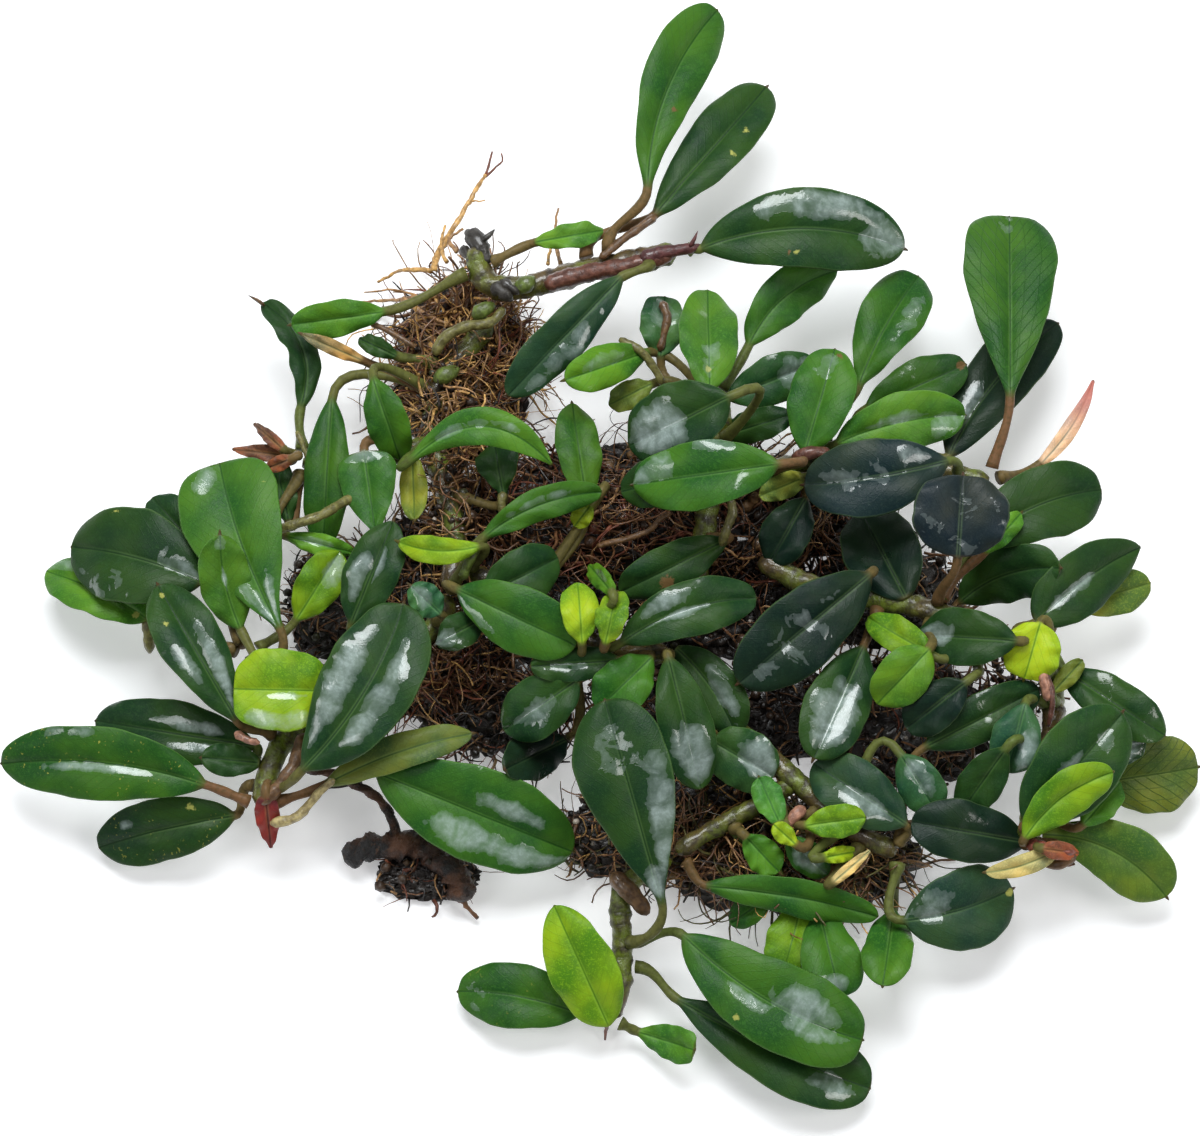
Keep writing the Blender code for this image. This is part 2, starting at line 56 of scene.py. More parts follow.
# The forms that the solids have, which the fine forms keep. Lengths are in mm, here and below.
GAP = 0.32  # between a stalk and its rhizome
LAY_GAP = 0.45  # between a blade and what it lies on
STALK_RADIUS = 0.6
STALK_PULLS = (0.12, 0.25, 0.4, 0.6, 0.85)  # a stalk's bends to try, as shares of its length
PULL_SAMPLES = 20
SHORT_STALK = 1.6
TIP_RADIUS = 0.25
BLADE_THICKNESS = 0.8
BLADE_FOLD = 0.12
BASE_POWER = 0.65
TIP_POWER = 0.5
ROLL_FROM = 0.25
TRY_SAMPLES = (28, 9)
COVER_SAMPLES = (60, 25)
STALK_SAMPLES = 30
NEAR_BASE = 0.02
RUN_STEP = 3.2
ROOT_SHOULDER = 0.75

# Heights to try for the two ends of a leaf without a solid and for its arch, and what each mm
# costs: to reach into what lies above, to move at all, and to change the arch.
END_RISES = np.arange(-7.0, 12.1, 0.75)
ARCH_CHANGES = np.array((-1.2, -0.4, 0.4, 1.2))
ABOVE_COST, RISE_COST, ARCH_COST = 4, 0.02, 0.3

# The fine leaf: its rings and columns of points, and how its forms vary.
FINE_STALK_RINGS = 10
FINE_BLADE_RINGS = 38
TOP_COLUMNS = (0.06, 0.15, 0.3, 0.45, 0.62, 0.78, 0.9, 0.97, 1.0)
UNDER_COLUMNS = (0.1, 0.3, 0.6, 0.9)
SPUR_RINGS = ((0.35, 0.8), (0.7, 0.55), (1.0, 0.2))  # shares of the spur's length and tip radius
SPUR_LENGTHS = (0.15, 0.3, 0.7)
FOLDS = (0.09, 0.17)  # how steeply the halves rise from the midrib
DROOPS = (0.45, 0.8)  # how far they bow down again
WAVE_HEIGHTS = (0.16, 0.38)
WAVES = (1.8, 3.6)  # along a margin
BRIGHTNESS = (0.9, 1.12)
EDGE_THICKNESS = 0.08  # half the blade's at its margin
MIDDLE_THICKNESS = 0.2  # what is added to that at the middle
GROOVE_WIDTH, GROOVE_DEPTH, KEEL_DEPTH = 0.32, 0.12, 0.22
BUCKLE = 0.16
UNEVENNESS = 0.035  # of the outline, as a share of the half breadth
MARK_SIZE = 0.7  # how far the damaged places reach, as a share of their stated size

RIGHT = np.array((1.0, 0.0, 0.0))
UP = np.array((0.0, math.sin(VIEW_ELEVATION), math.cos(VIEW_ELEVATION)))
NEAR = np.array((0.0, -math.cos(VIEW_ELEVATION), math.sin(VIEW_ELEVATION)))

# Each rhizome: radius in mm, its run, and its side shoots as (radius, run).
RHIZOMES = {
    "rhizome_top": (
        1.6,
        ((472, 246, 13), (488, 282, 12), (522, 286, 12), (566, 275, 12.5), (612, 264, 13),
         (650, 257, 14), (676, 250, 14.5)),
        (),
    ),
    "rhizome_neck": (
        1.45,
        ((488, 318, 9), (470, 345, 9), (445, 372, 9), (432, 415, 9), (440, 475, 9),
         (455, 530, 9.5), (450, 588, 10)),
        ((1.2, ((434, 440, 9), (390, 456, 9.5), (345, 468, 10), (302, 462, 10.5))),),
    ),
    "rhizome_west": (
        1.5,
        ((447, 595, 9.9), (438, 622, 9.3), (405, 650, 9), (350, 690, 9), (300, 722, 9.5),
         (272, 765, 9.5), (264, 806, 9)),
        ((1.2, ((300, 722, 9.5), (268, 690, 11), (250, 655, 12.5))),),
    ),
    "rhizome_middle": (
        1.4,
        ((471, 572, 9.6), (530, 600, 9.5), (585, 640, 10.5), (640, 655, 12.5), (668, 652, 14)),
        (),
    ),
    "rhizome_east": (
        1.5,
        ((658, 636, 9.3), (690, 590, 9), (703, 540, 9), (712, 480, 9.5), (722, 435, 11),
         (718, 402, 13)),
        ((1.3,
          ((711, 485, 9.5), (755, 475, 10.5), (800, 463, 11.5), (860, 455, 12), (930, 468, 12.5),
           (988, 482, 13.5))),),
    ),
    "rhizome_far_east": (
        1.5,
        ((760, 560, 9), (820, 590, 9.5), (880, 600, 10.5), (935, 612, 12.5), (985, 640, 12.5),
         (1035, 655, 12.5), (1052, 700, 10), (1045, 760, 8.5), (1030, 810, 8.5), (1027, 838, 9.5)),
        (),
    ),
    "rhizome_south": (
        1.4,
        ((664, 669, 10.2), (690, 690, 9.2), (730, 725, 9), (770, 758, 10), (821, 803, 10.5),
         (862, 835, 9.5), (895, 850, 8.5)),
        ((1.2, ((795, 780, 10.2), (750, 808, 9.5), (711, 829, 9), (676, 850, 8.8))),),
    ),
    "rhizome_bottom": (
        1.4,
        ((669, 856, 8.6), (650, 868, 8), (622, 890, 7.5), (622, 940, 6), (620, 985, 4.5),
         (610, 1016, 3.6)),
        (),
    ),
    "dead_rhizome": (
        1.7,
        ((343, 856, 2.4), (372, 848, 2.6), (415, 845, 3), (450, 868, 2.8), (468, 900, 2.2)),
        ((0.6, ((400, 846, 3), (385, 805, 5), (345, 778, 7), (296, 764, 8.3))),),
    ),
}

# Each mat of roots: middle (across, down), half length and half breadth and height in mm.
ROOT_MASSES = {
    "root_mass_upper": ((462, 372), 8.5, 12.0, 7.1),
    "root_mass_middle": ((650, 520), 26.0, 9.5, 7.0),
    "root_mass_west": ((430, 668), 8.5, 6.5, 7.0),
    "root_mass_south": ((790, 860), 16.0, 7.0, 6.9),
}

# Linear colours of the leaves' faces.
TONES = {
    "dark": (0.013, 0.050, 0.012),
    "mid": (0.026, 0.110, 0.013),
    "bright": (0.060, 0.200, 0.018),
    "lime": (0.200, 0.370, 0.015),
    "olive": (0.105, 0.165, 0.030),
    "slate": (0.016, 0.052, 0.026),
    "deep": (0.006, 0.022, 0.013),
    "red": (0.170, 0.028, 0.030),
    "rust": (0.190, 0.075, 0.040),
    "tan": (0.360, 0.270, 0.120),
    "cream": (0.500, 0.460, 0.230),
}
WET = {"dark": 0.55, "slate": 0.5, "deep": 0.5, "mid": 0.42, "bright": 0.35}
OTHER_WET = 0.25
VEINS = 0.25

# The solids' leaves, from the lowest to the highest: name, rhizome, where the stalk starts
# (across, down), the places of the blade's base and tip, breadth and arch in mm, roll in degrees,
# how the form differs, tone, and how the looks differ. In the form, bend is how far the midrib
# bows to its left in mm, and a smaller base or tip makes that end blunter. In the looks,
#   wet is how much of the face lies under a thin film of water, from 0 to 1,
#   sheen has wet places, glossy and with a painted reflection, as (along, across, half length,
#   half width, strength),
#   marks has damaged places, as (along, across, radius in mm, kind),
#   spots and veins are how strongly the yellow speckles and the side veins show,
#   wave is how strongly the margins wave, and spur the length of the tip's spur in mm,
#   tint is what the tone's red, green and blue are multiplied by,
#   blush is how red the leaf turns toward its tip,
#   stalk is the stalk's colour, from 0 for green to 1 for brown.
# Along goes from 0 at the blade's base to 1 at its tip, and across from -1 to 1 at its margins.
LEAVES = (
    ("leaf_left_2", "rhizome_west", (250, 658), (147, 619, 8), (45, 572, 4), 7.4, 1.4, 26,
     {"bend": -0.6}, "bright",
     {"sheen": ((0.88, -0.5, 0.16, 0.45, 0.8),), "wet": 0.3, "marks": ((0.1, 0.2, 1.0, "yellow"),),
      "stalk": 0.7}),
    ("leaf_front_5", "rhizome_bottom", (622, 962), (679, 998, 5), (868, 1085, 3), 9.6, 2.0, -9,
     {"bend": -0.6, "base": 0.85, "tip": 0.42}, "dark",
     {"wet": 0.2, "sheen": ((0.82, -0.3, 0.14, 0.45, 0.7),), "stalk": 0.2}),
    ("leaf_right_6", "rhizome_far_east", (1050, 770), (1100, 782, 6), (1197, 767, 4), 10, 1.2, 9,
     {}, "olive", {"veins": 1.0, "wet": 0.1}),
    ("leaf_left_11", "rhizome_west", (262, 795), (235, 815, 7), (100, 847, 2), 8.3, 1.8, -14,
     {"bend": -0.4}, "dark",
     {"spots": 0.5, "wet": 0.2, "marks": ((0.29, -0.65, 1.2, "yellow"),),
      "sheen": ((0.75, -0.5, 0.07, 0.2, 0.9),)}),
    ("leaf_left_10", "rhizome_west", (272, 755), (255, 745, 9), (96, 721, 4), 8.2, 1.9, 8, {},
     "dark", {"wet": 0.3, "sheen": ((0.42, -0.32, 0.26, 0.24, 1.0), (0.3, 0.4, 0.26, 0.22, 1.0))}),
    ("leaf_front_2", "rhizome_bottom", (618, 995), (579, 1011, 4), (459, 990, 2), 8.3, 1.2, 11,
     {"bend": -0.8}, "mid", {"spots": 0.2, "sheen": ((0.85, 0.2, 0.13, 0.7, 0.5),)}),
    ("leaf_top_2", "rhizome_top", (585, 268), (656, 212, 13), (768, 82, 8), 7.9, 1.8, -14,
     {"base": 0.75, "tip": 0.42}, "dark",
     {"marks": ((0.7, -0.5, 1.0, "yellow"), (0.54, -0.68, 0.9, "yellow")), "wet": 0.2,
      "stalk": 0.9}),
    ("leaf_top_6", "rhizome_east", (718, 408), (750, 343, 12), (838, 268, 9), 6.5, 1.2, 14,
     {"bend": 1.6}, "mid", {"wet": 0.2, "stalk": 0.1}),
    ("leaf_top_23", "rhizome_east", (930, 468), (950, 455, 11), (1061, 322, 7), 8.4, 1.2, -16,
     {"bend": 1.4}, "deep", {"wet": 0.2, "sheen": ((0.3, 0.3, 0.17, 0.35, 0.75),)}),
    ("leaf_right_5", "rhizome_far_east", (1028, 832), (1050, 829, 9), (1164, 895, 4), 8.4, 1.3, 9,
     {"bend": 2.1, "base": 0.9, "tip": 0.45}, "olive",
     {"spots": 0.1, "wet": 0.2, "tint": (0.9, 1.15, 0.9)}),
    ("leaf_right_4", "rhizome_far_east", (1046, 655), (1062, 670, 11), (1162, 735, 7), 6.4, 1.2,
     -14, {}, "dark", {}),
    ("leaf_right_3", "rhizome_far_east", (1010, 645), (1035, 622, 13), (1140, 547, 9), 8.2, 1.2,
     14, {"bend": 0.8, "base": 0.55, "tip": 0.7}, "dark",
     {"wet": 0.3, "sheen": ((0.35, 0.0, 0.3, 0.18, 0.9),)}),
    ("leaf_left_1", "rhizome_west", (250, 658), (203, 582, 13), (71, 547, 7), 12.3, 2.0, 8,
     {"bend": -0.8}, "dark",
     {"wet": 0.3, "sheen": ((0.2, -0.15, 0.22, 0.34, 0.7), (0.65, 0.7, 0.28, 0.3, 0.5)),
      "marks": ((0.72, -0.9, 0.7, "yellow"),), "stalk": 0.7}),
    ("leaf_left_9", "rhizome_west", (264, 806), (206, 783, 11), (3, 763, 6), 9.3, 2.1, -8,
     {"bend": -1.4}, "mid",
     {"spots": 0.6, "wet": 0.2,
      "sheen": ((0.5, 0.12, 0.32, 0.13, 1.0), (0.66, -0.85, 0.14, 0.2, 0.6))}),
    ("leaf_upper_left_2", "rhizome_neck", (302, 462), (300, 405, 9), (260, 302, 8), 4.6, 1.2, 30,
     {"bend": -2.6}, "dark", {"wet": 0.3, "spur": 2.4, "stalk": 0.1}),
    ("leaf_upper_left_1", "rhizome_top", (474, 262), (381, 311, 13), (291, 324, 10), 4.8, 1.2, -15,
     {}, "bright", {"spots": 0.15, "stalk": 0.3}),
    ("leaf_left_3", "rhizome_west", (256, 668), (281, 627, 16), (220, 464, 14), 13.1, 1.6, -6,
     {"base": 1.05, "tip": 0.32, "bend": 0.8}, "mid",
     {"wet": 0.15, "tint": (1.35, 1.25, 1.3), "marks": ((0.8, -0.72, 0.8, "yellow"),),
      "sheen": ((0.15, 0.45, 0.17, 0.4, 0.9), (0.15, -0.45, 0.17, 0.3, 0.8),
                (0.93, 0.5, 0.1, 0.4, 0.6))}),
    ("leaf_left_6", "rhizome_west", (272, 742), (238, 718, 14), (160, 586, 14), 8.1, 1.8, 12,
     {"base": 0.8}, "dark",
     {"wet": 0.3, "sheen": ((0.35, -0.4, 0.36, 0.32, 1.0), (0.45, 0.5, 0.17, 0.3, 0.8)),
      "marks": ((0.93, 0.1, 0.8, "yellow"), (0.75, 0.45, 0.9, "yellow"))}),
    ("leaf_left_7", "rhizome_west", (325, 708), (331, 690, 15), (237, 688, 15), 10.3, 1.5, 4,
     {"base": 0.35, "tip": 0.3}, "lime",
     {"spots": 0.3, "tint": (0.75, 0.85, 0.9),
      "sheen": ((0.5, 0.75, 0.45, 0.26, 0.8), (0.45, 0.15, 0.26, 0.1, 0.8)), "wet": 0.2}),
    ("leaf_centre_5", "rhizome_west", (405, 650), (353, 622, 15), (394, 522, 18), 7.0, 1.2, -10,
     {"tip": 0.6}, "dark",
     {"wet": 0.3, "sheen": ((0.45, 0.42, 0.28, 0.38, 1.0), (0.55, -0.2, 0.22, 0.12, 1.0))}),
    ("leaf_left_13", "rhizome_west", (300, 722), (379, 772, 11), (572, 850, 6), 12.1, 2.4, 9, {},
     "mid",
     {"wet": 0.3,
      "sheen": ((0.66, 0.35, 0.2, 0.22, 1.0), (0.5, -0.5, 0.22, 0.35, 1.0),
                (0.8, -0.55, 0.22, 0.28, 1.0))}),
    ("leaf_left_8", "rhizome_west", (266, 795), (306, 767, 14), (405, 604, 19), 12.2, 2.0, -10,
     {"base": 0.75, "bend": -1.5}, "dark",
     {"wet": 0.35, "tint": (1.3, 1.2, 1.4),
      "sheen": ((0.45, 0.55, 0.42, 0.36, 1.0), (0.5, -0.4, 0.36, 0.3, 0.95)), "stalk": 0.4}),
    ("leaf_front_6", "rhizome_south", (676, 850), (707, 884, 9), (876, 914, 7), 5.0, 1.6, 18,
     {"bend": 0.6}, "mid", {"wet": 0.3}),
    ("leaf_front_1", "rhizome_bottom", (610, 1012), (606, 1025, 6), (555, 903, 12), 8.5, 1.6, -8,
     {"base": 0.5, "tip": 0.6}, "lime", {"spots": 0.1, "tint": (0.8, 0.95, 0.8)}),
    ("leaf_front_4", "rhizome_bottom", (622, 930), (684, 934, 9), (860, 1036, 6), 11.0, 2.2, -6,
     {"bend": -1.6, "base": 0.6, "tip": 0.33}, "mid",
     {"wet": 0.2,
      "sheen": ((0.68, 0.25, 0.2, 0.48, 1.0), (0.74, -0.2, 0.2, 0.26, 0.9),
                (0.42, -0.2, 0.15, 0.15, 0.7)), "marks": ((0.42, -0.75, 1.0, "yellow"),),
      "stalk": 0.1}),
    ("leaf_front_7", "rhizome_south", (890, 848), (903, 918, 8), (1010, 888, 5), 10.3, 1.8, 8,
     {"bend": -0.6}, "slate",
     {"wet": 0.3, "marks": ((0.97, -0.1, 1.0, "yellow"),),
      "sheen": ((0.25, 0.35, 0.28, 0.55, 0.65),), "stalk": 0.2}),
    ("leaf_right_7", "rhizome_far_east", (1027, 838), (1022, 822, 13), (1118, 712, 15), 11.0, 1.6,
     12, {}, "dark",
     {"wet": 0.2, "tint": (1.3, 1.3, 1.1),
      "sheen": ((0.45, 0.15, 0.22, 0.16, 1.0), (0.8, -0.1, 0.1, 0.3, 0.5))}),
    ("leaf_top_5", "rhizome_top", (650, 258), (620, 278, 17), (508, 395, 15), 6.2, 1.8, -12, {},
     "slate",
     {"wet": 0.25, "tint": (0.8, 0.9, 0.85), "sheen": ((0.5, 0.5, 0.42, 0.45, 0.55),),
      "stalk": 0.3}),
    ("leaf_top_1", "rhizome_top", (618, 262), (648, 185, 16), (718, 4, 11), 8.0, 1.9, 12,
     {"bend": 2.2, "base": 0.9, "tip": 0.4}, "mid",
     {"wet": 0.2,
      "marks": ((0.56, -0.38, 0.8, "yellow"), (0.48, -0.42, 0.8, "yellow"),
                (0.42, -0.5, 0.9, "brown")), "stalk": 0.8}),
    ("leaf_top_3", "rhizome_top", (676, 250), (703, 247, 16), (905, 247, 13), 10.4, 2.3, -9,
     {"bend": 2.4}, "dark",
     {"wet": 0.3, "marks": ((0.41, -0.6, 0.8, "brown"), (0.45, -0.62, 0.8, "yellow")),
      "sheen": ((0.6, 0.6, 0.4, 0.4, 0.85), (0.9, 0.0, 0.14, 0.75, 0.8))}),
    ("leaf_top_11", "rhizome_east", (718, 402), (703, 382, 14), (708, 290, 12), 7.6, 1.2, 10, {},
     "bright",
     {"tint": (0.75, 0.75, 0.9), "marks": ((0.2, 0.05, 0.9, "yellow"),),
      "sheen": ((0.3, 0.0, 0.3, 0.5, 0.5),), "stalk": 1.0}),
    ("leaf_top_7", "rhizome_east", (842, 458), (860, 384, 12), (920, 275, 9), 8.1, 1.6, -10,
     {"bend": 0.6, "base": 0.85, "tip": 0.42}, "mid",
     {"wet": 0.2, "wave": 1.7, "sheen": ((0.7, -0.55, 0.3, 0.35, 0.5),)}),
    ("leaf_top_22", "rhizome_east", (988, 482), (1010, 396, 16), (1012, 215, 11), 11.9, 1.7, 5,
     {"base": 0.95, "tip": 0.3}, "mid",
     {"wet": 0.1, "veins": 0.7, "tint": (1.0, 0.95, 1.1), "stalk": 1.0,
      "sheen": ((0.97, 0.1, 0.06, 0.35, 0.6),)}),
    ("leaf_top_25", "rhizome_east", (838, 458), (838, 443, 15), (965, 415, 13), 7.4, 1.2, 10,
     {"bend": 0.9}, "bright",
     {"wet": 0.2, "tint": (0.85, 0.85, 1.0),
      "sheen": ((0.5, 0.15, 0.3, 0.2, 0.85), (0.86, -0.3, 0.16, 0.55, 0.7))}),
    ("leaf_top_8", "rhizome_east", (805, 463), (805, 452, 16), (835, 350, 16), 8.2, 1.3, -8, {},
     "mid",
     {"wet": 0.3, "sheen": ((0.82, 0.1, 0.14, 0.55, 0.75),),
      "marks": ((0.93, -0.4, 0.8, "brown"),)}),
    ("leaf_top_15", "rhizome_east", (722, 430), (728, 398, 17), (630, 446, 17), 10.1, 1.5, 12, {},
     "dark", {"wet": 0.4, "sheen": ((0.7, -0.1, 0.33, 0.75, 1.0),)}),
    ("leaf_right_2", "rhizome_far_east", (860, 598), (868, 575, 16), (738, 682, 15), 9.9, 1.8, -10,
     {}, "deep",
     {"wet": 0.3, "sheen": ((0.6, 0.3, 0.35, 0.5, 0.45), (0.45, -0.3, 0.3, 0.2, 0.5))}),
    ("leaf_top_16", "rhizome_east", (780, 470), (776, 465, 18), (634, 485, 18), 8.6, 1.5, 8, {},
     "mid", {"wet": 0.3, "sheen": ((0.85, -0.4, 0.22, 0.55, 0.9), (0.45, -0.85, 0.18, 0.3, 0.8))}),
    ("leaf_top_20", "rhizome_far_east", (935, 612), (977, 544, 14), (1101, 490, 11), 9.4, 1.6, -8,
     {"bend": 1.4, "tip": 0.4}, "dark", {"wet": 0.2}),
    ("leaf_top_18", "rhizome_east", (960, 475), (945, 462, 18), (804, 485, 17), 9.8, 1.7, 10,
     {"bend": 0.5}, "deep",
     {"wet": 0.3, "sheen": ((0.2, -0.4, 0.25, 0.4, 0.6), (0.55, -0.1, 0.4, 0.5, 0.4)),
      "tint": (2.0, 1.3, 2.0)}),
    ("leaf_top_19", "rhizome_far_east", (925, 608), (955, 556, 22), (960, 477, 24), 12.1, 1.2, 3,
     {"base": 0.45, "tip": 0.4}, "deep",
     {"wet": 0.2, "tint": (2.2, 1.1, 2.2), "sheen": ((0.55, 0.0, 0.7, 1.2, 0.14),)}),
    ("leaf_centre_2", "rhizome_middle", (620, 652), (623, 641, 18), (755, 598, 17), 7.1, 1.5, -10,
     {"bend": 1.3}, "dark",
     {"wet": 0.3, "sheen": ((0.35, 0.55, 0.22, 0.38, 1.0), (0.45, -0.05, 0.28, 0.14, 1.0))}),
    ("leaf_centre_4", "rhizome_middle", (600, 648), (578, 679, 16), (505, 729, 12), 7.6, 1.2, 8,
     {}, "dark", {"spur": 0.9, "sheen": ((0.6, 0.2, 0.32, 0.55, 0.6),)}),
    ("leaf_centre_3", "rhizome_middle", (665, 652), (668, 658, 18), (700, 787, 13), 7.0, 1.3, -12,
     {}, "dark", {"wet": 0.3, "sheen": ((0.75, 0.0, 0.28, 0.85, 1.0),)}),
    ("leaf_centre_1", "rhizome_neck", (455, 580), (460, 590, 18), (576, 645, 18), 8.4, 1.3, 8, {},
     "mid", {"wet": 0.2, "sheen": ((0.2, -0.65, 0.28, 0.28, 0.6),)}),
    ("leaf_upper_left_3", "rhizome_neck", (436, 455), (415, 457, 17), (551, 464, 18), 4.8, 1.5, 0,
     {"bend": 4.2, "base": 0.9, "tip": 0.85}, "bright",
     {"wet": 0.2, "tint": (0.7, 0.75, 0.9),
      "sheen": ((0.3, 0.1, 0.2, 0.4, 0.6), (0.65, 0.3, 0.15, 0.3, 0.6))}),
    ("leaf_centre_6", "rhizome_bottom", (622, 945), (661, 898, 14), (605, 699, 22), 12.0, 2.4, -7,
     {"base": 1.1}, "dark",
     {"wet": 0.3,
      "sheen": ((0.35, -0.65, 0.4, 0.42, 0.9), (0.1, 0.0, 0.1, 0.9, 1.0),
                (0.75, 0.1, 0.2, 0.5, 0.4))}),
)

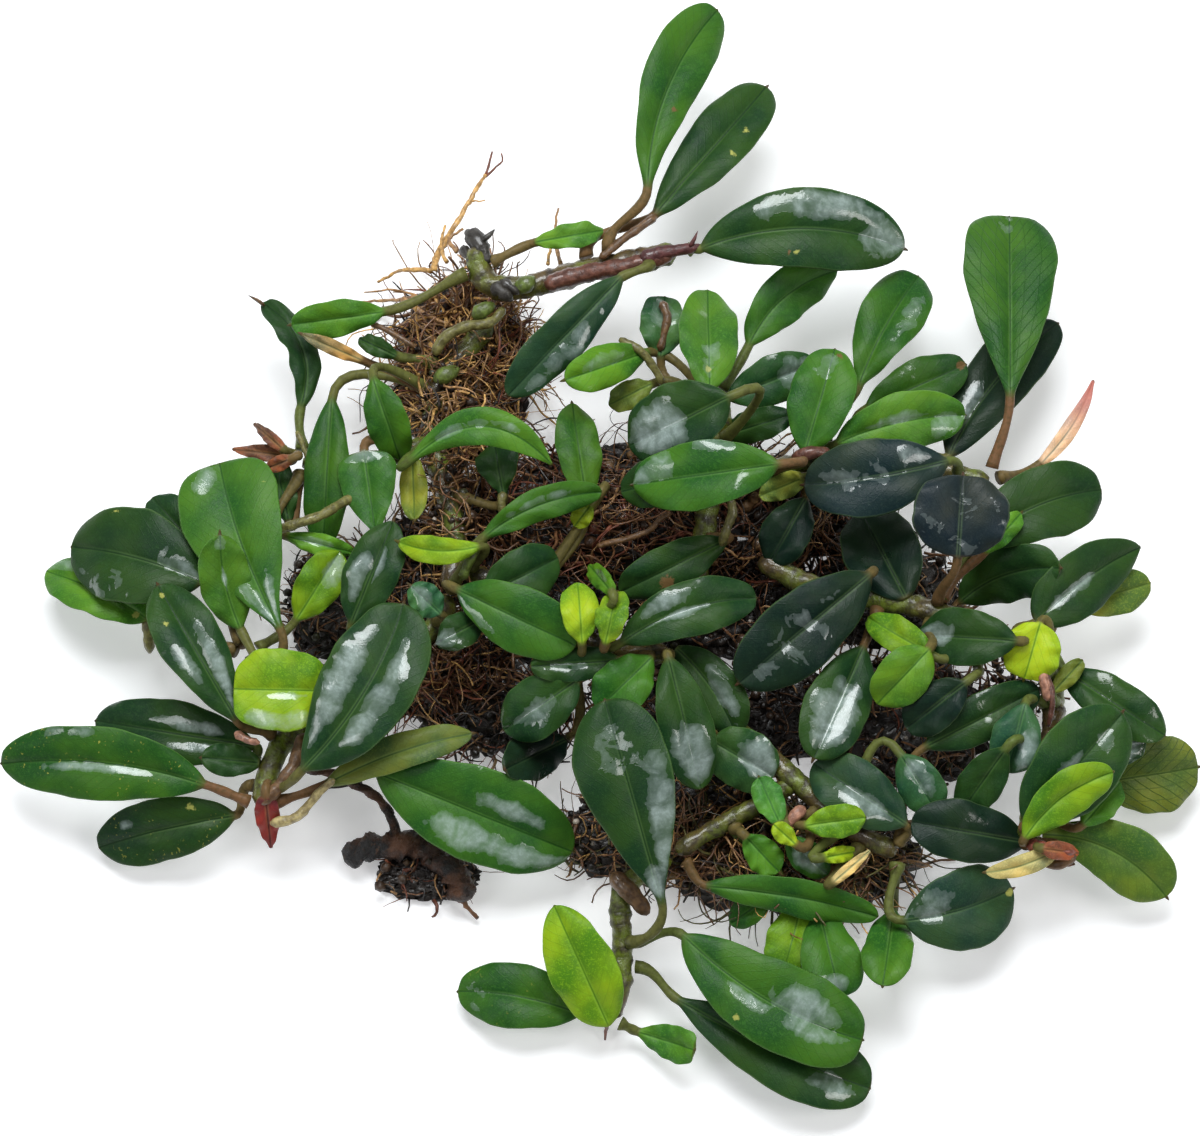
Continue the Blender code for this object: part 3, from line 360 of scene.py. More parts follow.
# Leaves that are too small or too hidden for a solid: name, the solid's leaf that they lie just
# above, where the stalk starts or None for the blade's base, and the rest as in LEAVES. Their
# heights are where settling starts from.
MORE_LEAVES = (
    ("leaf_top_4", "leaf_upper_left_1", (500, 262), (538, 240, 13), (603, 229, 12), 3.2, 0.8, -10,
     {}, "bright", {"tint": (1.2, 1.1, 1.5)}),
    ("leaf_top_9", "leaf_top_7", None, (735, 395, 13), (815, 363, 12), 6.2, 1.2, 6, {}, "dark",
     {"tint": (1.2, 1.3, 1.5), "sheen": ((0.8, 0.0, 0.3, 0.8, 0.95),), "wet": 0.4}),
    ("leaf_top_10", "leaf_top_7", None, (715, 438, 13), (792, 415, 12), 4.2, 1.0, -8, {}, "dark",
     {}),
    ("leaf_top_12", "leaf_top_6", (657, 375), (661, 354, 10), (665, 296, 9), 6.0, 1.0, 8, {},
     "slate", {"wet": 0.6, "tint": (2.4, 2.4, 1.8), "sheen": ((0.7, 0.0, 0.3, 0.8, 0.8),)}),
    ("leaf_top_13", "leaf_top_5", (667, 385), (645, 352, 12), (565, 380, 11), 5.4, 1.2, -8, {},
     "bright", {"wet": 0.6, "sheen": ((0.5, -0.3, 0.3, 0.5, 0.7),)}),
    ("leaf_top_14", "leaf_top_6", None, (650, 384, 10), (610, 404, 9), 3.6, 0.8, 8, {}, "olive",
     {}),
    ("leaf_top_17", "leaf_right_2", None, (705, 470, 14), (622, 492, 14), 6.2, 1.2, 8, {}, "dark",
     {}),
    ("leaf_top_21", "leaf_top_20", (975, 560), (985, 550, 14), (1019, 514, 13), 2.8, 0.6, 8, {},
     "bright", {}),
    ("leaf_top_24", "leaf_top_23", None, (868, 408, 12), (967, 364, 10), 6.5, 1.2, -8, {}, "mid",
     {"tint": (0.7, 0.7, 0.8), "marks": ((0.95, 0.1, 1.2, "brown"),)}),
    ("leaf_right_1", "leaf_right_3", None, (962, 601, 13), (1059, 568, 11), 7.4, 1.2, 10,
     {"bend": 1.4}, "dark", {"wet": 0.3}),
    ("leaf_right_8", "leaf_top_23", None, (1075, 605, 9), (1151, 583, 8), 5.6, 1.0, 6, {}, "olive",
     {"tint": (1.4, 1.3, 1.0)}),
    ("leaf_right_9", "leaf_right_2", None, (1010, 640, 14), (917, 634, 14), 7.3, 1.2, 8, {},
     "dark", {"wet": 0.3, "sheen": ((0.82, -0.1, 0.22, 0.55, 1.0),)}),
    ("leaf_right_10", "leaf_right_7", None, (1037, 624, 16), (1022, 677, 14), 7.2, 1.2, 0,
     {"base": 0.4, "tip": 0.35}, "lime", {}),
    ("leaf_right_11", "leaf_right_3", None, (1052, 690, 13), (1080, 660, 12), 2.4, 0.6, 0, {},
     "olive", {}),
    ("leaf_right_12", "leaf_right_2", None, (930, 655, 14), (868, 618, 14), 4.5, 1.0, 8, {},
     "lime", {"tint": (0.7, 0.8, 0.9)}),
    ("leaf_right_13", "leaf_right_2", None, (925, 650, 14), (876, 702, 13), 6.6, 1.2, -8,
     {"base": 0.5}, "bright", {"tint": (1.3, 1.1, 1.0)}),
    ("leaf_right_14", "leaf_top_8", None, (908, 600, 13), (862, 512, 13), 9.7, 1.4, 6, {}, "deep",
     {}),
    ("leaf_right_15", "leaf_right_4", None, (805, 500, 11), (770, 562, 10), 6.2, 1.2, 6, {},
     "deep", {}),
    ("leaf_right_16", "leaf_top_15", None, (724, 541, 13), (620, 592, 12), 6.0, 1.4, -8, {},
     "dark", {"tint": (1.2, 1.1, 1.0), "marks": ((0.6, 0.5, 1.8, "brown"),)}),
    ("young_leaf_1", "leaf_centre_1", None, (582, 640, 17), (578, 584, 16), 4.8, 1.0, 6, {},
     "lime", {}),
    ("young_leaf_2", "leaf_centre_1", None, (606, 640, 17), (617, 593, 16), 4.2, 0.8, -20, {},
     "lime", {"tint": (0.7, 0.75, 0.9)}),
    ("young_leaf_3", "leaf_centre_1", None, (612, 592, 13), (590, 566, 12), 2.4, 0.6, 0, {},
     "bright", {"sheen": ((0.5, -0.3, 0.3, 0.4, 0.8),)}),
    ("leaf_centre_7", "leaf_left_8", None, (485, 595, 14), (557, 558, 13), 7.0, 1.2, 8, {}, "dark",
     {}),
    ("leaf_centre_8", "leaf_centre_4", None, (618, 660, 17), (531, 666, 15), 4.6, 1.0, 8, {},
     "dark", {"sheen": ((0.6, 0.2, 0.3, 0.4, 0.6),)}),
    ("leaf_centre_9", "leaf_left_13", None, (565, 740, 10), (505, 768, 8), 6.2, 1.0, 6, {}, "deep",
     {}),
    ("leaf_centre_10", "leaf_centre_4", None, (650, 658, 15), (598, 708, 13), 6.8, 1.2, 6, {},
     "mid", {"tint": (1.2, 1.2, 1.1)}),
    ("leaf_centre_11", "leaf_front_7", None, (682, 646, 13), (736, 735, 12), 7.0, 1.2, 6,
     {"bend": 0.8}, "dark", {"wet": 0.4, "sheen": ((0.55, 0.3, 0.4, 0.4, 0.7),)}),
    ("leaf_centre_12", "leaf_front_7", None, (712, 740, 12), (772, 775, 10), 7.6, 1.2, 6,
     {"base": 0.4, "tip": 0.35}, "dark",
     {"wet": 0.4, "tint": (1.6, 1.4, 1.5), "sheen": ((0.7, 0.3, 0.38, 0.7, 1.0),)}),
    ("leaf_centre_13", "leaf_right_7", None, (862, 648, 13), (812, 757, 11), 8.3, 1.4, -6, {},
     "dark", {"wet": 0.4, "sheen": ((0.6, 0.0, 0.35, 0.8, 1.0),)}),
    ("leaf_centre_14", "leaf_left_8", None, (586, 500, 12), (572, 404, 11), 5.6, 1.4, 10, {},
     "mid", {"tint": (1.4, 1.1, 1.0)}),
    ("leaf_centre_15", "leaf_left_8", None, (503, 494, 13), (495, 446, 13), 5.6, 0.8, -6,
     {"tip": 0.35, "base": 1.0}, "dark", {"wet": 0.6}),
    ("leaf_centre_16", "leaf_centre_4", (451, 594), (487, 535, 16), (601, 492, 15), 4.2, 1.2, 8,
     {"bend": 1.2}, "mid", {"wet": 0.3, "sheen": ((0.5, 0.3, 0.3, 0.3, 0.6),)}),
    ("leaf_centre_17", "leaf_centre_4", None, (477, 547, 16), (400, 542, 15), 3.5, 1.0, 6,
     {"bend": 0.8}, "lime", {"tint": (0.8, 0.85, 1.0)}),
    ("leaf_centre_18", "leaf_left_8", None, (440, 612, 14), (412, 586, 13), 4.1, 0.6, 6,
     {"base": 0.45}, "slate", {"tint": (2.0, 2.4, 2.0), "sheen": ((0.6, 0.0, 0.5, 0.7, 0.8),)}),
    ("leaf_centre_19", "leaf_left_3", (390, 456), (364, 452, 14), (376, 533, 13), 7.4, 1.0, 6,
     {"base": 0.3, "tip": 0.85}, "mid",
     {"tint": (1.2, 1.1, 1.2), "sheen": ((0.05, 0.0, 0.1, 1.0, 0.7),)}),
    ("leaf_centre_20", "leaf_left_3", (371, 355), (374, 381, 13), (400, 458, 12), 5.4, 1.2, 12, {},
     "mid", {"tint": (1.2, 1.1, 0.9)}),
    ("leaf_centre_21", "leaf_upper_left_2", (363, 371), (331, 401, 11), (323, 547, 10), 5.8, 1.4,
     10, {}, "mid", {"tint": (1.1, 1.0, 0.9)}),
    ("leaf_centre_22", "leaf_left_3", None, (412, 455, 13), (415, 520, 12), 3.5, 0.8, 6, {},
     "olive", {"tint": (1.5, 1.3, 1.0)}),
    ("leaf_centre_23", "leaf_left_3", None, (290, 537, 13), (352, 552, 12), 2.7, 0.8, 8, {},
     "bright", {"wet": 0.6, "sheen": ((0.4, 0.2, 0.4, 0.45, 0.8),)}),
    ("leaf_centre_24", "leaf_left_3", None, (298, 618, 12), (340, 552, 12), 5.7, 1.0, 6, {},
     "lime", {"tint": (0.6, 0.75, 0.8), "sheen": ((0.75, -0.3, 0.28, 0.55, 0.85),)}),
    ("leaf_left_4", "leaf_left_2", None, (212, 565, 9), (152, 498, 8), 6.4, 1.2, 8, {}, "dark",
     {}),
    ("leaf_left_5", "leaf_left_3", (256, 668), (241, 627, 17), (222, 535, 17), 6.5, 1.2, 10,
     {"bend": 0.6}, "bright",
     {"tint": (0.75, 0.75, 0.9),
      "sheen": ((0.55, 0.0, 0.17, 0.09, 1.0), (0.95, 0.0, 0.12, 0.5, 0.7))}),
    ("leaf_left_12", "leaf_left_2", None, (288, 520, 10), (275, 460, 9), 3.6, 0.8, 8, {}, "dark",
     {}),
    ("leaf_left_14", "leaf_left_10", None, (258, 772, 9), (203, 757, 7), 4.2, 0.8, 8, {}, "dark",
     {}),
    ("leaf_left_15", "leaf_left_13", (272, 822), (330, 782, 12), (472, 733, 10), 4.6, 1.4, -14,
     {"bend": 0.8}, "olive", {"tint": (0.75, 0.8, 1.1)}),
    ("leaf_front_3", "leaf_front_2", (612, 1012), (640, 1030, 3.5), (694, 1046, 2), 4.6, 0.6, 8,
     {"tip": 0.25}, "bright", {}),
    ("leaf_front_8", "leaf_front_5", None, (800, 905, 8), (782, 972, 5), 6.6, 1.0, 8, {}, "lime",
     {"tint": (0.55, 0.7, 0.9)}),
    ("leaf_front_9", "leaf_front_5", None, (818, 908, 8), (838, 994, 5), 7.6, 1.2, -8,
     {"tip": 0.35}, "mid", {"wet": 0.3, "sheen": ((0.85, -0.2, 0.15, 0.7, 1.0),)}),
    ("leaf_front_10", "leaf_front_5", None, (768, 895, 8), (730, 922, 5), 3.6, 0.6, 6, {}, "mid",
     {}),
    ("leaf_front_11", "leaf_front_5", None, (892, 912, 8), (880, 982, 4), 6.4, 1.0, 8, {},
     "bright", {"tint": (0.7, 0.75, 0.9)}),
    ("leaf_right_17", "leaf_front_7", None, (1021, 843, 12), (909, 820, 11), 7.7, 1.4, 6, {},
     "deep", {"wet": 0.5}),
    ("leaf_right_18", "leaf_right_7", None, (1022, 834, 14), (1108, 770, 13), 6.0, 1.2, 16,
     {"bend": 1.2}, "lime", {"tint": (0.6, 0.75, 0.8)}),
    ("leaf_right_19", "leaf_right_5", None, (1080, 822, 10), (1117, 782, 9), 4.2, 0.8, 8, {},
     "bright", {}),
    ("leaf_right_20", "leaf_right_5", None, (1100, 762, 11), (1143, 740, 10), 3.4, 0.8, 8, {},
     "dark", {"wet": 0.9, "sheen": ((0.5, 0.0, 0.5, 0.8, 0.9),)}),
    ("leaf_right_21", "leaf_right_6", None, (925, 745, 13), (1036, 688, 13), 6.2, 1.4, 8, {},
     "dark", {}),
    ("leaf_right_22", "leaf_right_6", None, (962, 682, 11), (905, 727, 10), 6.2, 1.2, 8, {},
     "deep", {}),
    ("leaf_right_23", "leaf_right_4", None, (1022, 705, 13), (1005, 770, 11), 6.4, 1.2, 10, {},
     "slate", {"wet": 0.5, "tint": (1.6, 1.8, 1.6), "sheen": ((0.6, 0.55, 0.35, 0.45, 1.0),)}),
    ("leaf_right_24", "leaf_right_4", None, (900, 755, 12), (935, 810, 11), 5.8, 1.0, 8, {},
     "slate", {"wet": 0.3, "tint": (1.4, 1.8, 1.4), "sheen": ((0.4, 0.2, 0.4, 0.6, 0.8),)}),
    ("leaf_right_25", "leaf_right_4", None, (1002, 748, 11), (960, 810, 10), 5.6, 1.2, 8, {},
     "dark", {}),
    ("leaf_right_26", "leaf_front_7", (895, 850), (903, 822, 12), (813, 763, 12), 7.8, 1.4, 8, {},
     "slate", {"wet": 0.4, "sheen": ((0.4, 0.2, 0.32, 0.45, 0.9),)}),
    ("young_leaf_4", "leaf_front_7", None, (778, 821, 13), (758, 776, 12), 3.8, 0.8, 6, {},
     "bright", {"tint": (1.0, 1.1, 2.0)}),
    ("young_leaf_5", "leaf_front_7", None, (792, 840, 12), (772, 822, 11), 2.4, 0.6, 0, {}, "lime",
     {}),
    ("young_leaf_6", "leaf_front_7", None, (805, 823, 12), (863, 815, 12), 4.2, 0.8, 6, {}, "lime",
     {"tint": (0.7, 0.8, 0.9)}),
    ("young_leaf_7", "leaf_front_6", None, (822, 855, 11), (852, 850, 10), 2.0, 0.5, 0, {}, "lime",
     {}),
    ("young_leaf_8", "leaf_front_5", None, (745, 835, 11), (778, 870, 9), 4.4, 0.8, 6, {},
     "bright", {"tint": (0.7, 0.8, 0.9)}),
    ("leaf_centre_25", "leaf_left_8", None, (480, 620, 13), (438, 643, 12), 4.5, 0.8, 6,
     {"tip": 0.7}, "dark", {"sheen": ((0.8, 0.0, 0.3, 0.8, 0.9),)}),
    ("leaf_top_26", "leaf_left_3", None, (393, 354, 11), (359, 338, 10), 2.4, 0.6, 6, {}, "dark",
     {}),
    ("leaf_centre_26", "leaf_left_8", None, (590, 506, 12), (575, 526, 11), 2.6, 0.6, 6, {},
     "lime", {"tint": (0.6, 0.6, 0.8)}),
    ("young_leaf_9", "leaf_front_5", None, (786, 838, 11), (826, 872, 9), 4.2, 0.8, 6, {}, "mid",
     {"wet": 0.8, "sheen": ((0.5, 0.0, 0.5, 0.8, 0.85),)}),
)

# Bracts, sheaths and buds, in the same form as the leaves.
BRACTS = (
    ("pink_shoot", "leaf_top_23", (988, 482), (1043, 462, 11), (1095, 381, 10), 1.9, 0.6, 0,
     {"bend": -0.7, "tip": 0.9}, "cream", {"wet": 0.3, "blush": 0.85, "tint": (1.05, 0.9, 1.4)}),
    ("red_bud", "leaf_left_10", (264, 806), (266, 800, 9), (272, 846, 6), 3.0, 0.6, 0,
     {"base": 0.4, "tip": 0.8}, "red", {"wet": 0.5}),
    ("star_bract_1", "leaf_upper_left_2", (302, 462), (285, 452, 11), (233, 449, 10), 2.0, 0.4, 0,
     {"tip": 0.9}, "rust", {"wet": 0.0}),
    ("star_bract_2", "leaf_upper_left_2", (302, 462), (282, 448, 11), (254, 424, 11), 1.4, 0.4, 0,
     {"tip": 0.9}, "rust", {"wet": 0.0}),
    ("star_bract_3", "leaf_upper_left_2", (302, 462), (288, 458, 11), (262, 470, 9), 1.8, 0.4, 0,
     {"tip": 0.9}, "rust", {"wet": 0.0}),
    ("yellow_leaf", "leaf_upper_left_1", (377, 366), (358, 358, 12), (302, 334, 10), 1.8, 0.6, 0,
     {"tip": 0.7}, "tan", {}),
    ("pale_sheath", "leaf_right_3", (845, 458), (803, 478, 13), (760, 496, 12), 3.2, 0.8, 0,
     {"base": 0.4}, "olive", {"tint": (1.9, 1.6, 1.6)}),
    ("yellow_spike", "leaf_front_6", None, (833, 878, 11), (867, 849, 12), 1.2, 0.3, 0,
     {"tip": 0.8}, "cream", {}),
    ("cream_sheath", "leaf_right_7", (1030, 830), (1052, 848, 12), (984, 870, 11), 2.6, 0.7, 0,
     {"base": 0.4, "bend": 0.5}, "cream", {"tint": (0.9, 0.95, 0.8)}),
    ("red_sheath", "leaf_right_7", (1030, 830), (1040, 846, 12), (1074, 851, 11), 2.2, 0.5, 0,
     {"base": 0.4}, "rust", {"tint": (1.5, 1.2, 1.1)}),
    ("brown_sheath", "leaf_right_5", (1030, 830), (1036, 858, 10), (1070, 862, 9), 1.6, 0.4, 0,
     {"base": 0.5}, "rust", {}),
)


def spot(place):
    """A place (across, down, height) in the clump's frame, in mm."""
    across, down, height = place
    x = (across - SHEET_MIDDLE[0]) / DOTS_PER_MM
    up_sheet = (SHEET_MIDDLE[1] - down) / DOTS_PER_MM
    y = (up_sheet - height * math.cos(VIEW_ELEVATION)) / math.sin(VIEW_ELEVATION)
    return np.array((x - CLUMP_MIDDLE[0], y - CLUMP_MIDDLE[1], height))


def unit(vectors):
    return vectors / np.linalg.norm(vectors, axis=-1, keepdims=True)


def smooth_step(low, high, value):
    part = np.clip((value - low) / (high - low), 0, 1)
    return part * part * (3 - 2 * part)


def smooth_run(places, step=RUN_STEP):
    """Points about one step apart on a smooth curve through the places."""
    through = [spot(place) for place in places]
    ends = [2 * through[0] - through[1], 2 * through[-1] - through[-2]]
    knots = [ends[0], *through, ends[1]]
    points = []
    for a, b, c, d in zip(knots, knots[1:], knots[2:], knots[3:]):
        pieces = max(1, round(np.linalg.norm(c - b) / step))
        for i in range(pieces):
            t = i / pieces
            points.append(
                0.5 * (2 * b + (c - a) * t + (2 * a - 5 * b + 4 * c - d) * t**2
                       + (3 * b - a - 3 * c + d) * t**3)
            )
    points.append(through[-1])
    return points


class Cover:
    """How far toward the viewer the pieces laid so far reach, on a grid over the sheet."""

    CELL = 0.6
    HALF = 90.0

    def __init__(self):
        self.side = int(2 * self.HALF / self.CELL)
        rows = (np.arange(self.side) + 0.5) * self.CELL - self.HALF
        ground = -rows / math.tan(VIEW_ELEVATION)
        self.near = np.repeat(ground[None, :], self.side, axis=0)

    def cells(self, points):
        across = ((points @ RIGHT + self.HALF) / self.CELL).astype(int)
        up_sheet = ((points @ UP + self.HALF) / self.CELL).astype(int)
        return across, up_sheet

    def top(self, points):
        return self.near[self.cells(points)]

    def add(self, points, thickness):
        np.maximum.at(self.near, self.cells(points), points @ NEAR + thickness)


class Roof(Cover):
    """The undersides of what lies above, on the same grid."""

    FAR = 1000.0

    def __init__(self):
        super().__init__()
        self.near[:] = self.FAR

    def add(self, points, thickness):
        np.minimum.at(self.near, self.cells(points), points @ NEAR - thickness)


class Leaf:
    """One leaf: a stalk that leaves its rhizome, and a blade laid over what is below it."""

    def __init__(self, row):
        self.name, _, _, base, tip, self.breadth, self.arch, roll, form, self.tone, self.look = row
        self.base = spot(base)
        self.tip = spot(tip)
        self.bend = form.get("bend", 0.0)
        self.roll = math.radians(roll)
        self.base_power = form.get("base", BASE_POWER)
        self.tip_power = form.get("tip", TIP_POWER)
        self.rise = (0.0, 0.0)
        self.pulls = (STALK_PULLS[0], STALK_PULLS[0])
        self.has_stalk = True

    def start_on(self, runs, radius, foot):
        """Starts the stalk on the skin of the rhizome or shoot, where the foot is seen on it."""
        _, number, nearest = min(
            (math.hypot((point - foot) @ RIGHT, (point - foot) @ UP), number, i)
            for number, points in enumerate(runs) for i, point in enumerate(points)
        )
        points = runs[number]
        along = unit(points[min(nearest + 1, len(points) - 1)] - points[max(nearest - 1, 0)])
        toward = self.base - points[nearest]
        at_end = nearest == len(points) - 1 or (nearest == 0 and number == 0)
        if not at_end:
            toward = toward - along * (toward @ along)
        self.way = unit(toward)
        self.foot = points[nearest] + self.way * (radius + GAP)
        if np.linalg.norm(self.base - self.foot) < SHORT_STALK:
            self.base = self.foot

    def middle(self, t):
        """The blade's midrib at each t, from 0 at its base to 1 at its tip."""
        t = np.asarray(t, float)[..., None]
        run = self.tip - self.base
        side = unit(np.cross(NEAR, run))
        swell = 4 * t * (1 - t)
        lift = self.rise[0] * (1 - t) + self.rise[1] * t
        return self.base + run * t + side * (self.bend * swell) + NEAR * (self.arch * swell + lift)

    def half_breadth(self, t):
        peak = self.base_power / (self.base_power + self.tip_power)
        full = peak**self.base_power * (1 - peak) ** self.tip_power
        shape = t**self.base_power * (1 - t) ** self.tip_power / full
        core = STALK_RADIUS + (TIP_RADIUS - STALK_RADIUS) * t
        return np.hypot(self.breadth / 2 * shape, core)

    def stations(self, t):
        """The blade's centre, side and face directions and half breadth at each t."""
        step = 0.01
        along = unit(self.middle(np.minimum(t + step, 1)) - self.middle(np.maximum(t - step, 0)))
        flat = unit(np.cross(NEAR, along))
        up = np.cross(along, flat)
        roll = (self.roll * np.minimum(1, t / ROLL_FROM))[:, None]
        side = flat * np.cos(roll) + up * np.sin(roll)
        return self.middle(t), side, np.cross(along, side), self.half_breadth(t)

    def stalk_points(self, t):
        """The stalk's centre and direction at each t, from 0 at its foot."""
        base = self.middle(0.0)
        length = np.linalg.norm(base - self.foot)
        leave = self.foot + self.way * (self.pulls[0] * length)
        arrive = base - unit(self.middle(NEAR_BASE) - base) * (self.pulls[1] * length)
        t = t[:, None]
        centre = (self.foot * (1 - t) ** 3 + 3 * leave * t * (1 - t) ** 2
                  + 3 * arrive * t**2 * (1 - t) + base * t**3)
        along = unit((leave - self.foot) * (1 - t) ** 2 + 2 * (arrive - leave) * t * (1 - t)
                     + (base - arrive) * t**2)
        return centre, along

    def stalk_stations(self, t):
        """Its centre, side and face directions at each t, carried down from the blade."""
        centre, along = self.stalk_points(t)
        side = self.stations(np.zeros(1))[1][0]
        sides = np.zeros((len(t), 3))
        for i in reversed(range(len(t))):
            side = unit(side - along[i] * (side @ along[i]))
            sides[i] = side
        return centre, sides, np.cross(along, sides)

    def ease_stalk(self):
        """Takes the pulls that give the stalk its widest bend."""
        self.has_stalk = np.linalg.norm(self.middle(0.0) - self.foot) >= SHORT_STALK
        if not self.has_stalk:
            return
        best = (0.0, self.pulls)
        for leave in STALK_PULLS:
            for arrive in STALK_PULLS:
                self.pulls = (leave, arrive)
                steps = np.diff(self.stalk_points(np.linspace(0, 1, PULL_SAMPLES))[0], axis=0)
                lengths = np.linalg.norm(steps, axis=1)
                ways = steps / lengths[:, None]
                turns = np.arccos(np.clip((ways[1:] * ways[:-1]).sum(axis=1), -1, 1))
                best = max(best, ((lengths[1:] / np.maximum(turns, 1e-6)).min(), self.pulls))
        self.pulls = best[1]

    def surface(self, samples):
        """Points all over the blade's face, station by station."""
        t = np.linspace(NEAR_BASE, 1.0, samples[0])
        x = np.linspace(-1, 1, samples[1])
        centre, side, face, half = self.stations(t)
        offset = half[:, None] * x[None, :]
        points = (centre[:, None] + side[:, None] * offset[..., None]
                  + face[:, None] * (BLADE_FOLD * np.abs(offset))[..., None])
        return points, t

    def lay_on(self, cover):
        """Raises base and tip just enough for the blade to clear all that lies below it."""
        points, t = self.surface(TRY_SAMPLES)
        under = cover.top(points) + LAY_GAP + BLADE_THICKNESS / 2 - points @ NEAR
        need = under.max(axis=1)
        best = None
        for i, t_i in enumerate(t):
            for j in range(i + 1, len(t)):
                slope = (need[j] - need[i]) / (t[j] - t_i)
                line = need[i] + slope * (t - t_i)
                middle = need[i] + slope * (0.5 - t_i)
                if (line >= need - 1e-6).all() and (best is None or middle < best[0]):
                    best = (middle, need[i] - slope * t_i, need[i] + slope * (1 - t_i))
        self.rise = tuple(max(0.0, end) for end in best[1:])
        if need.max() <= 0:
            self.rise = (0.0, 0.0)

    def settle(self, below, above):
        """Moves the blade up or down between what lies below it and what lies above it."""
        points, t = self.surface(TRY_SAMPLES)
        spare = LAY_GAP + BLADE_THICKNESS / 2
        need = (below.top(points) + spare - points @ NEAR).max(axis=1)
        most = (above.top(points) - spare - points @ NEAR).min(axis=1)
        grids = np.meshgrid(END_RISES, END_RISES, ARCH_CHANGES)
        base, tip, swell = (grid[..., None] for grid in grids)
        rise = base * (1 - t) + tip * t + swell * 4 * t * (1 - t)
        too_low = np.maximum(0, need - rise)
        too_high = np.maximum(0, rise - most)
        cost = (too_low**2).sum(-1) + ABOVE_COST * (too_high**2).sum(-1)
        cost = cost + RISE_COST * (rise**2).sum(-1) + ARCH_COST * np.abs(swell[..., 0])
        best = np.unravel_index(cost.argmin(), cost.shape)
        self.rise = (base[best][0], tip[best][0])
        self.arch += swell[best][0]

    def mark_on(self, grid):
        points, _ = self.surface(COVER_SAMPLES)
        grid.add(points.reshape(-1, 3), BLADE_THICKNESS / 2)
        if not self.has_stalk:
            return
        centre, side, _ = self.stalk_stations(np.linspace(0, 1, STALK_SAMPLES))
        for x in (-1, 0, 1):
            grid.add(centre + side * (x * STALK_RADIUS), STALK_RADIUS)


def aside(points, place):
    """How far off a place the nearest of the points is, as seen from the viewer's side."""
    return min(math.hypot((point - place) @ RIGHT, (point - place) @ UP) for point in points)


def place_leaves(fine_runs):
    """All leaves in their places: those of the solids as they lie, the others between them."""
    runs = {}
    for name, (_, run, shoots) in RHIZOMES.items():
        runs[name] = [smooth_run(run), *(smooth_run(shoot_run) for _, shoot_run in shoots)]
    cover = Cover()
    leaves = []
    for row in LEAVES:
        leaf = Leaf(row)
        leaf.start_on(runs[row[1]], RHIZOMES[row[1]][0], spot((*row[2], 0)))
        leaf.lay_on(cover)
        leaf.ease_stalk()
        leaf.mark_on(cover)
        leaves.append(leaf)
    ranks = {leaf.name: rank for rank, leaf in enumerate(leaves)}

    queue = sorted(MORE_LEAVES + BRACTS, key=lambda row: ranks[row[1]])
    below = Cover()
    for points, radius in fine_runs:
        below.add(points, radius)
    laid = 0
    added = []
    for row in queue:
        rank = ranks[row[1]]
        while laid <= rank:
            leaves[laid].mark_on(below)
            laid += 1
        above = Roof()
        for leaf in leaves[laid:]:
            leaf.mark_on(above)
        leaf = Leaf(row)
        foot = spot((*row[2], 0)) if row[2] else leaf.base
        stem = min(runs, key=lambda name: min(aside(points, foot) for points in runs[name]))
        leaf.settle(below, above)
        leaf.start_on(runs[stem], RHIZOMES[stem][0] - GAP, foot)
        leaf.ease_stalk()
        leaf.mark_on(below)
        added.append(leaf)
    return leaves, added


def new_object(name, points, faces, material, attributes=(), smooth=True):
    """A mesh object from points in mm, with its attributes."""
    mesh = bpy.data.meshes.new(name)
    mesh.from_pydata((np.asarray(points) * MM).tolist(), [], faces)
    for label, kind, values in attributes:
        attribute = mesh.attributes.new(label, kind, "POINT")
        key = {"FLOAT": "value", "FLOAT_VECTOR": "vector", "FLOAT_COLOR": "color"}[kind]
        attribute.data.foreach_set(key, np.asarray(values, np.float32).ravel())
    mesh.materials.append(material)
    mesh.polygons.foreach_set("use_smooth", [smooth] * len(mesh.polygons))
    mesh.update()
    thing = bpy.data.objects.new(name, mesh)
    bpy.context.scene.collection.objects.link(thing)
    return thing


def ring_faces(rings, sides, first=0):
    """Faces of a closed loft of rings with the same number of points, with its two caps."""
    faces = []
    for i in range(rings - 1):
        a = first + i * sides
        for j in range(sides):
            k = (j + 1) % sides
            faces.append((a + j, a + k, a + sides + k, a + sides + j))
    last = first + (rings - 1) * sides
    faces.append(tuple(range(first + sides - 1, first - 1, -1)))
    faces.append(tuple(range(last, last + sides)))
    return faces


def soft_noise(values, phase, octaves=((1, 0.6), (2.3, 0.3), (4.1, 0.15))):
    """A smooth, unrepeating wave between about -1 and 1."""
    return sum(part * np.sin(2 * math.pi * rate * values + phase * (1.7 + rate))
               for rate, part in octaves)


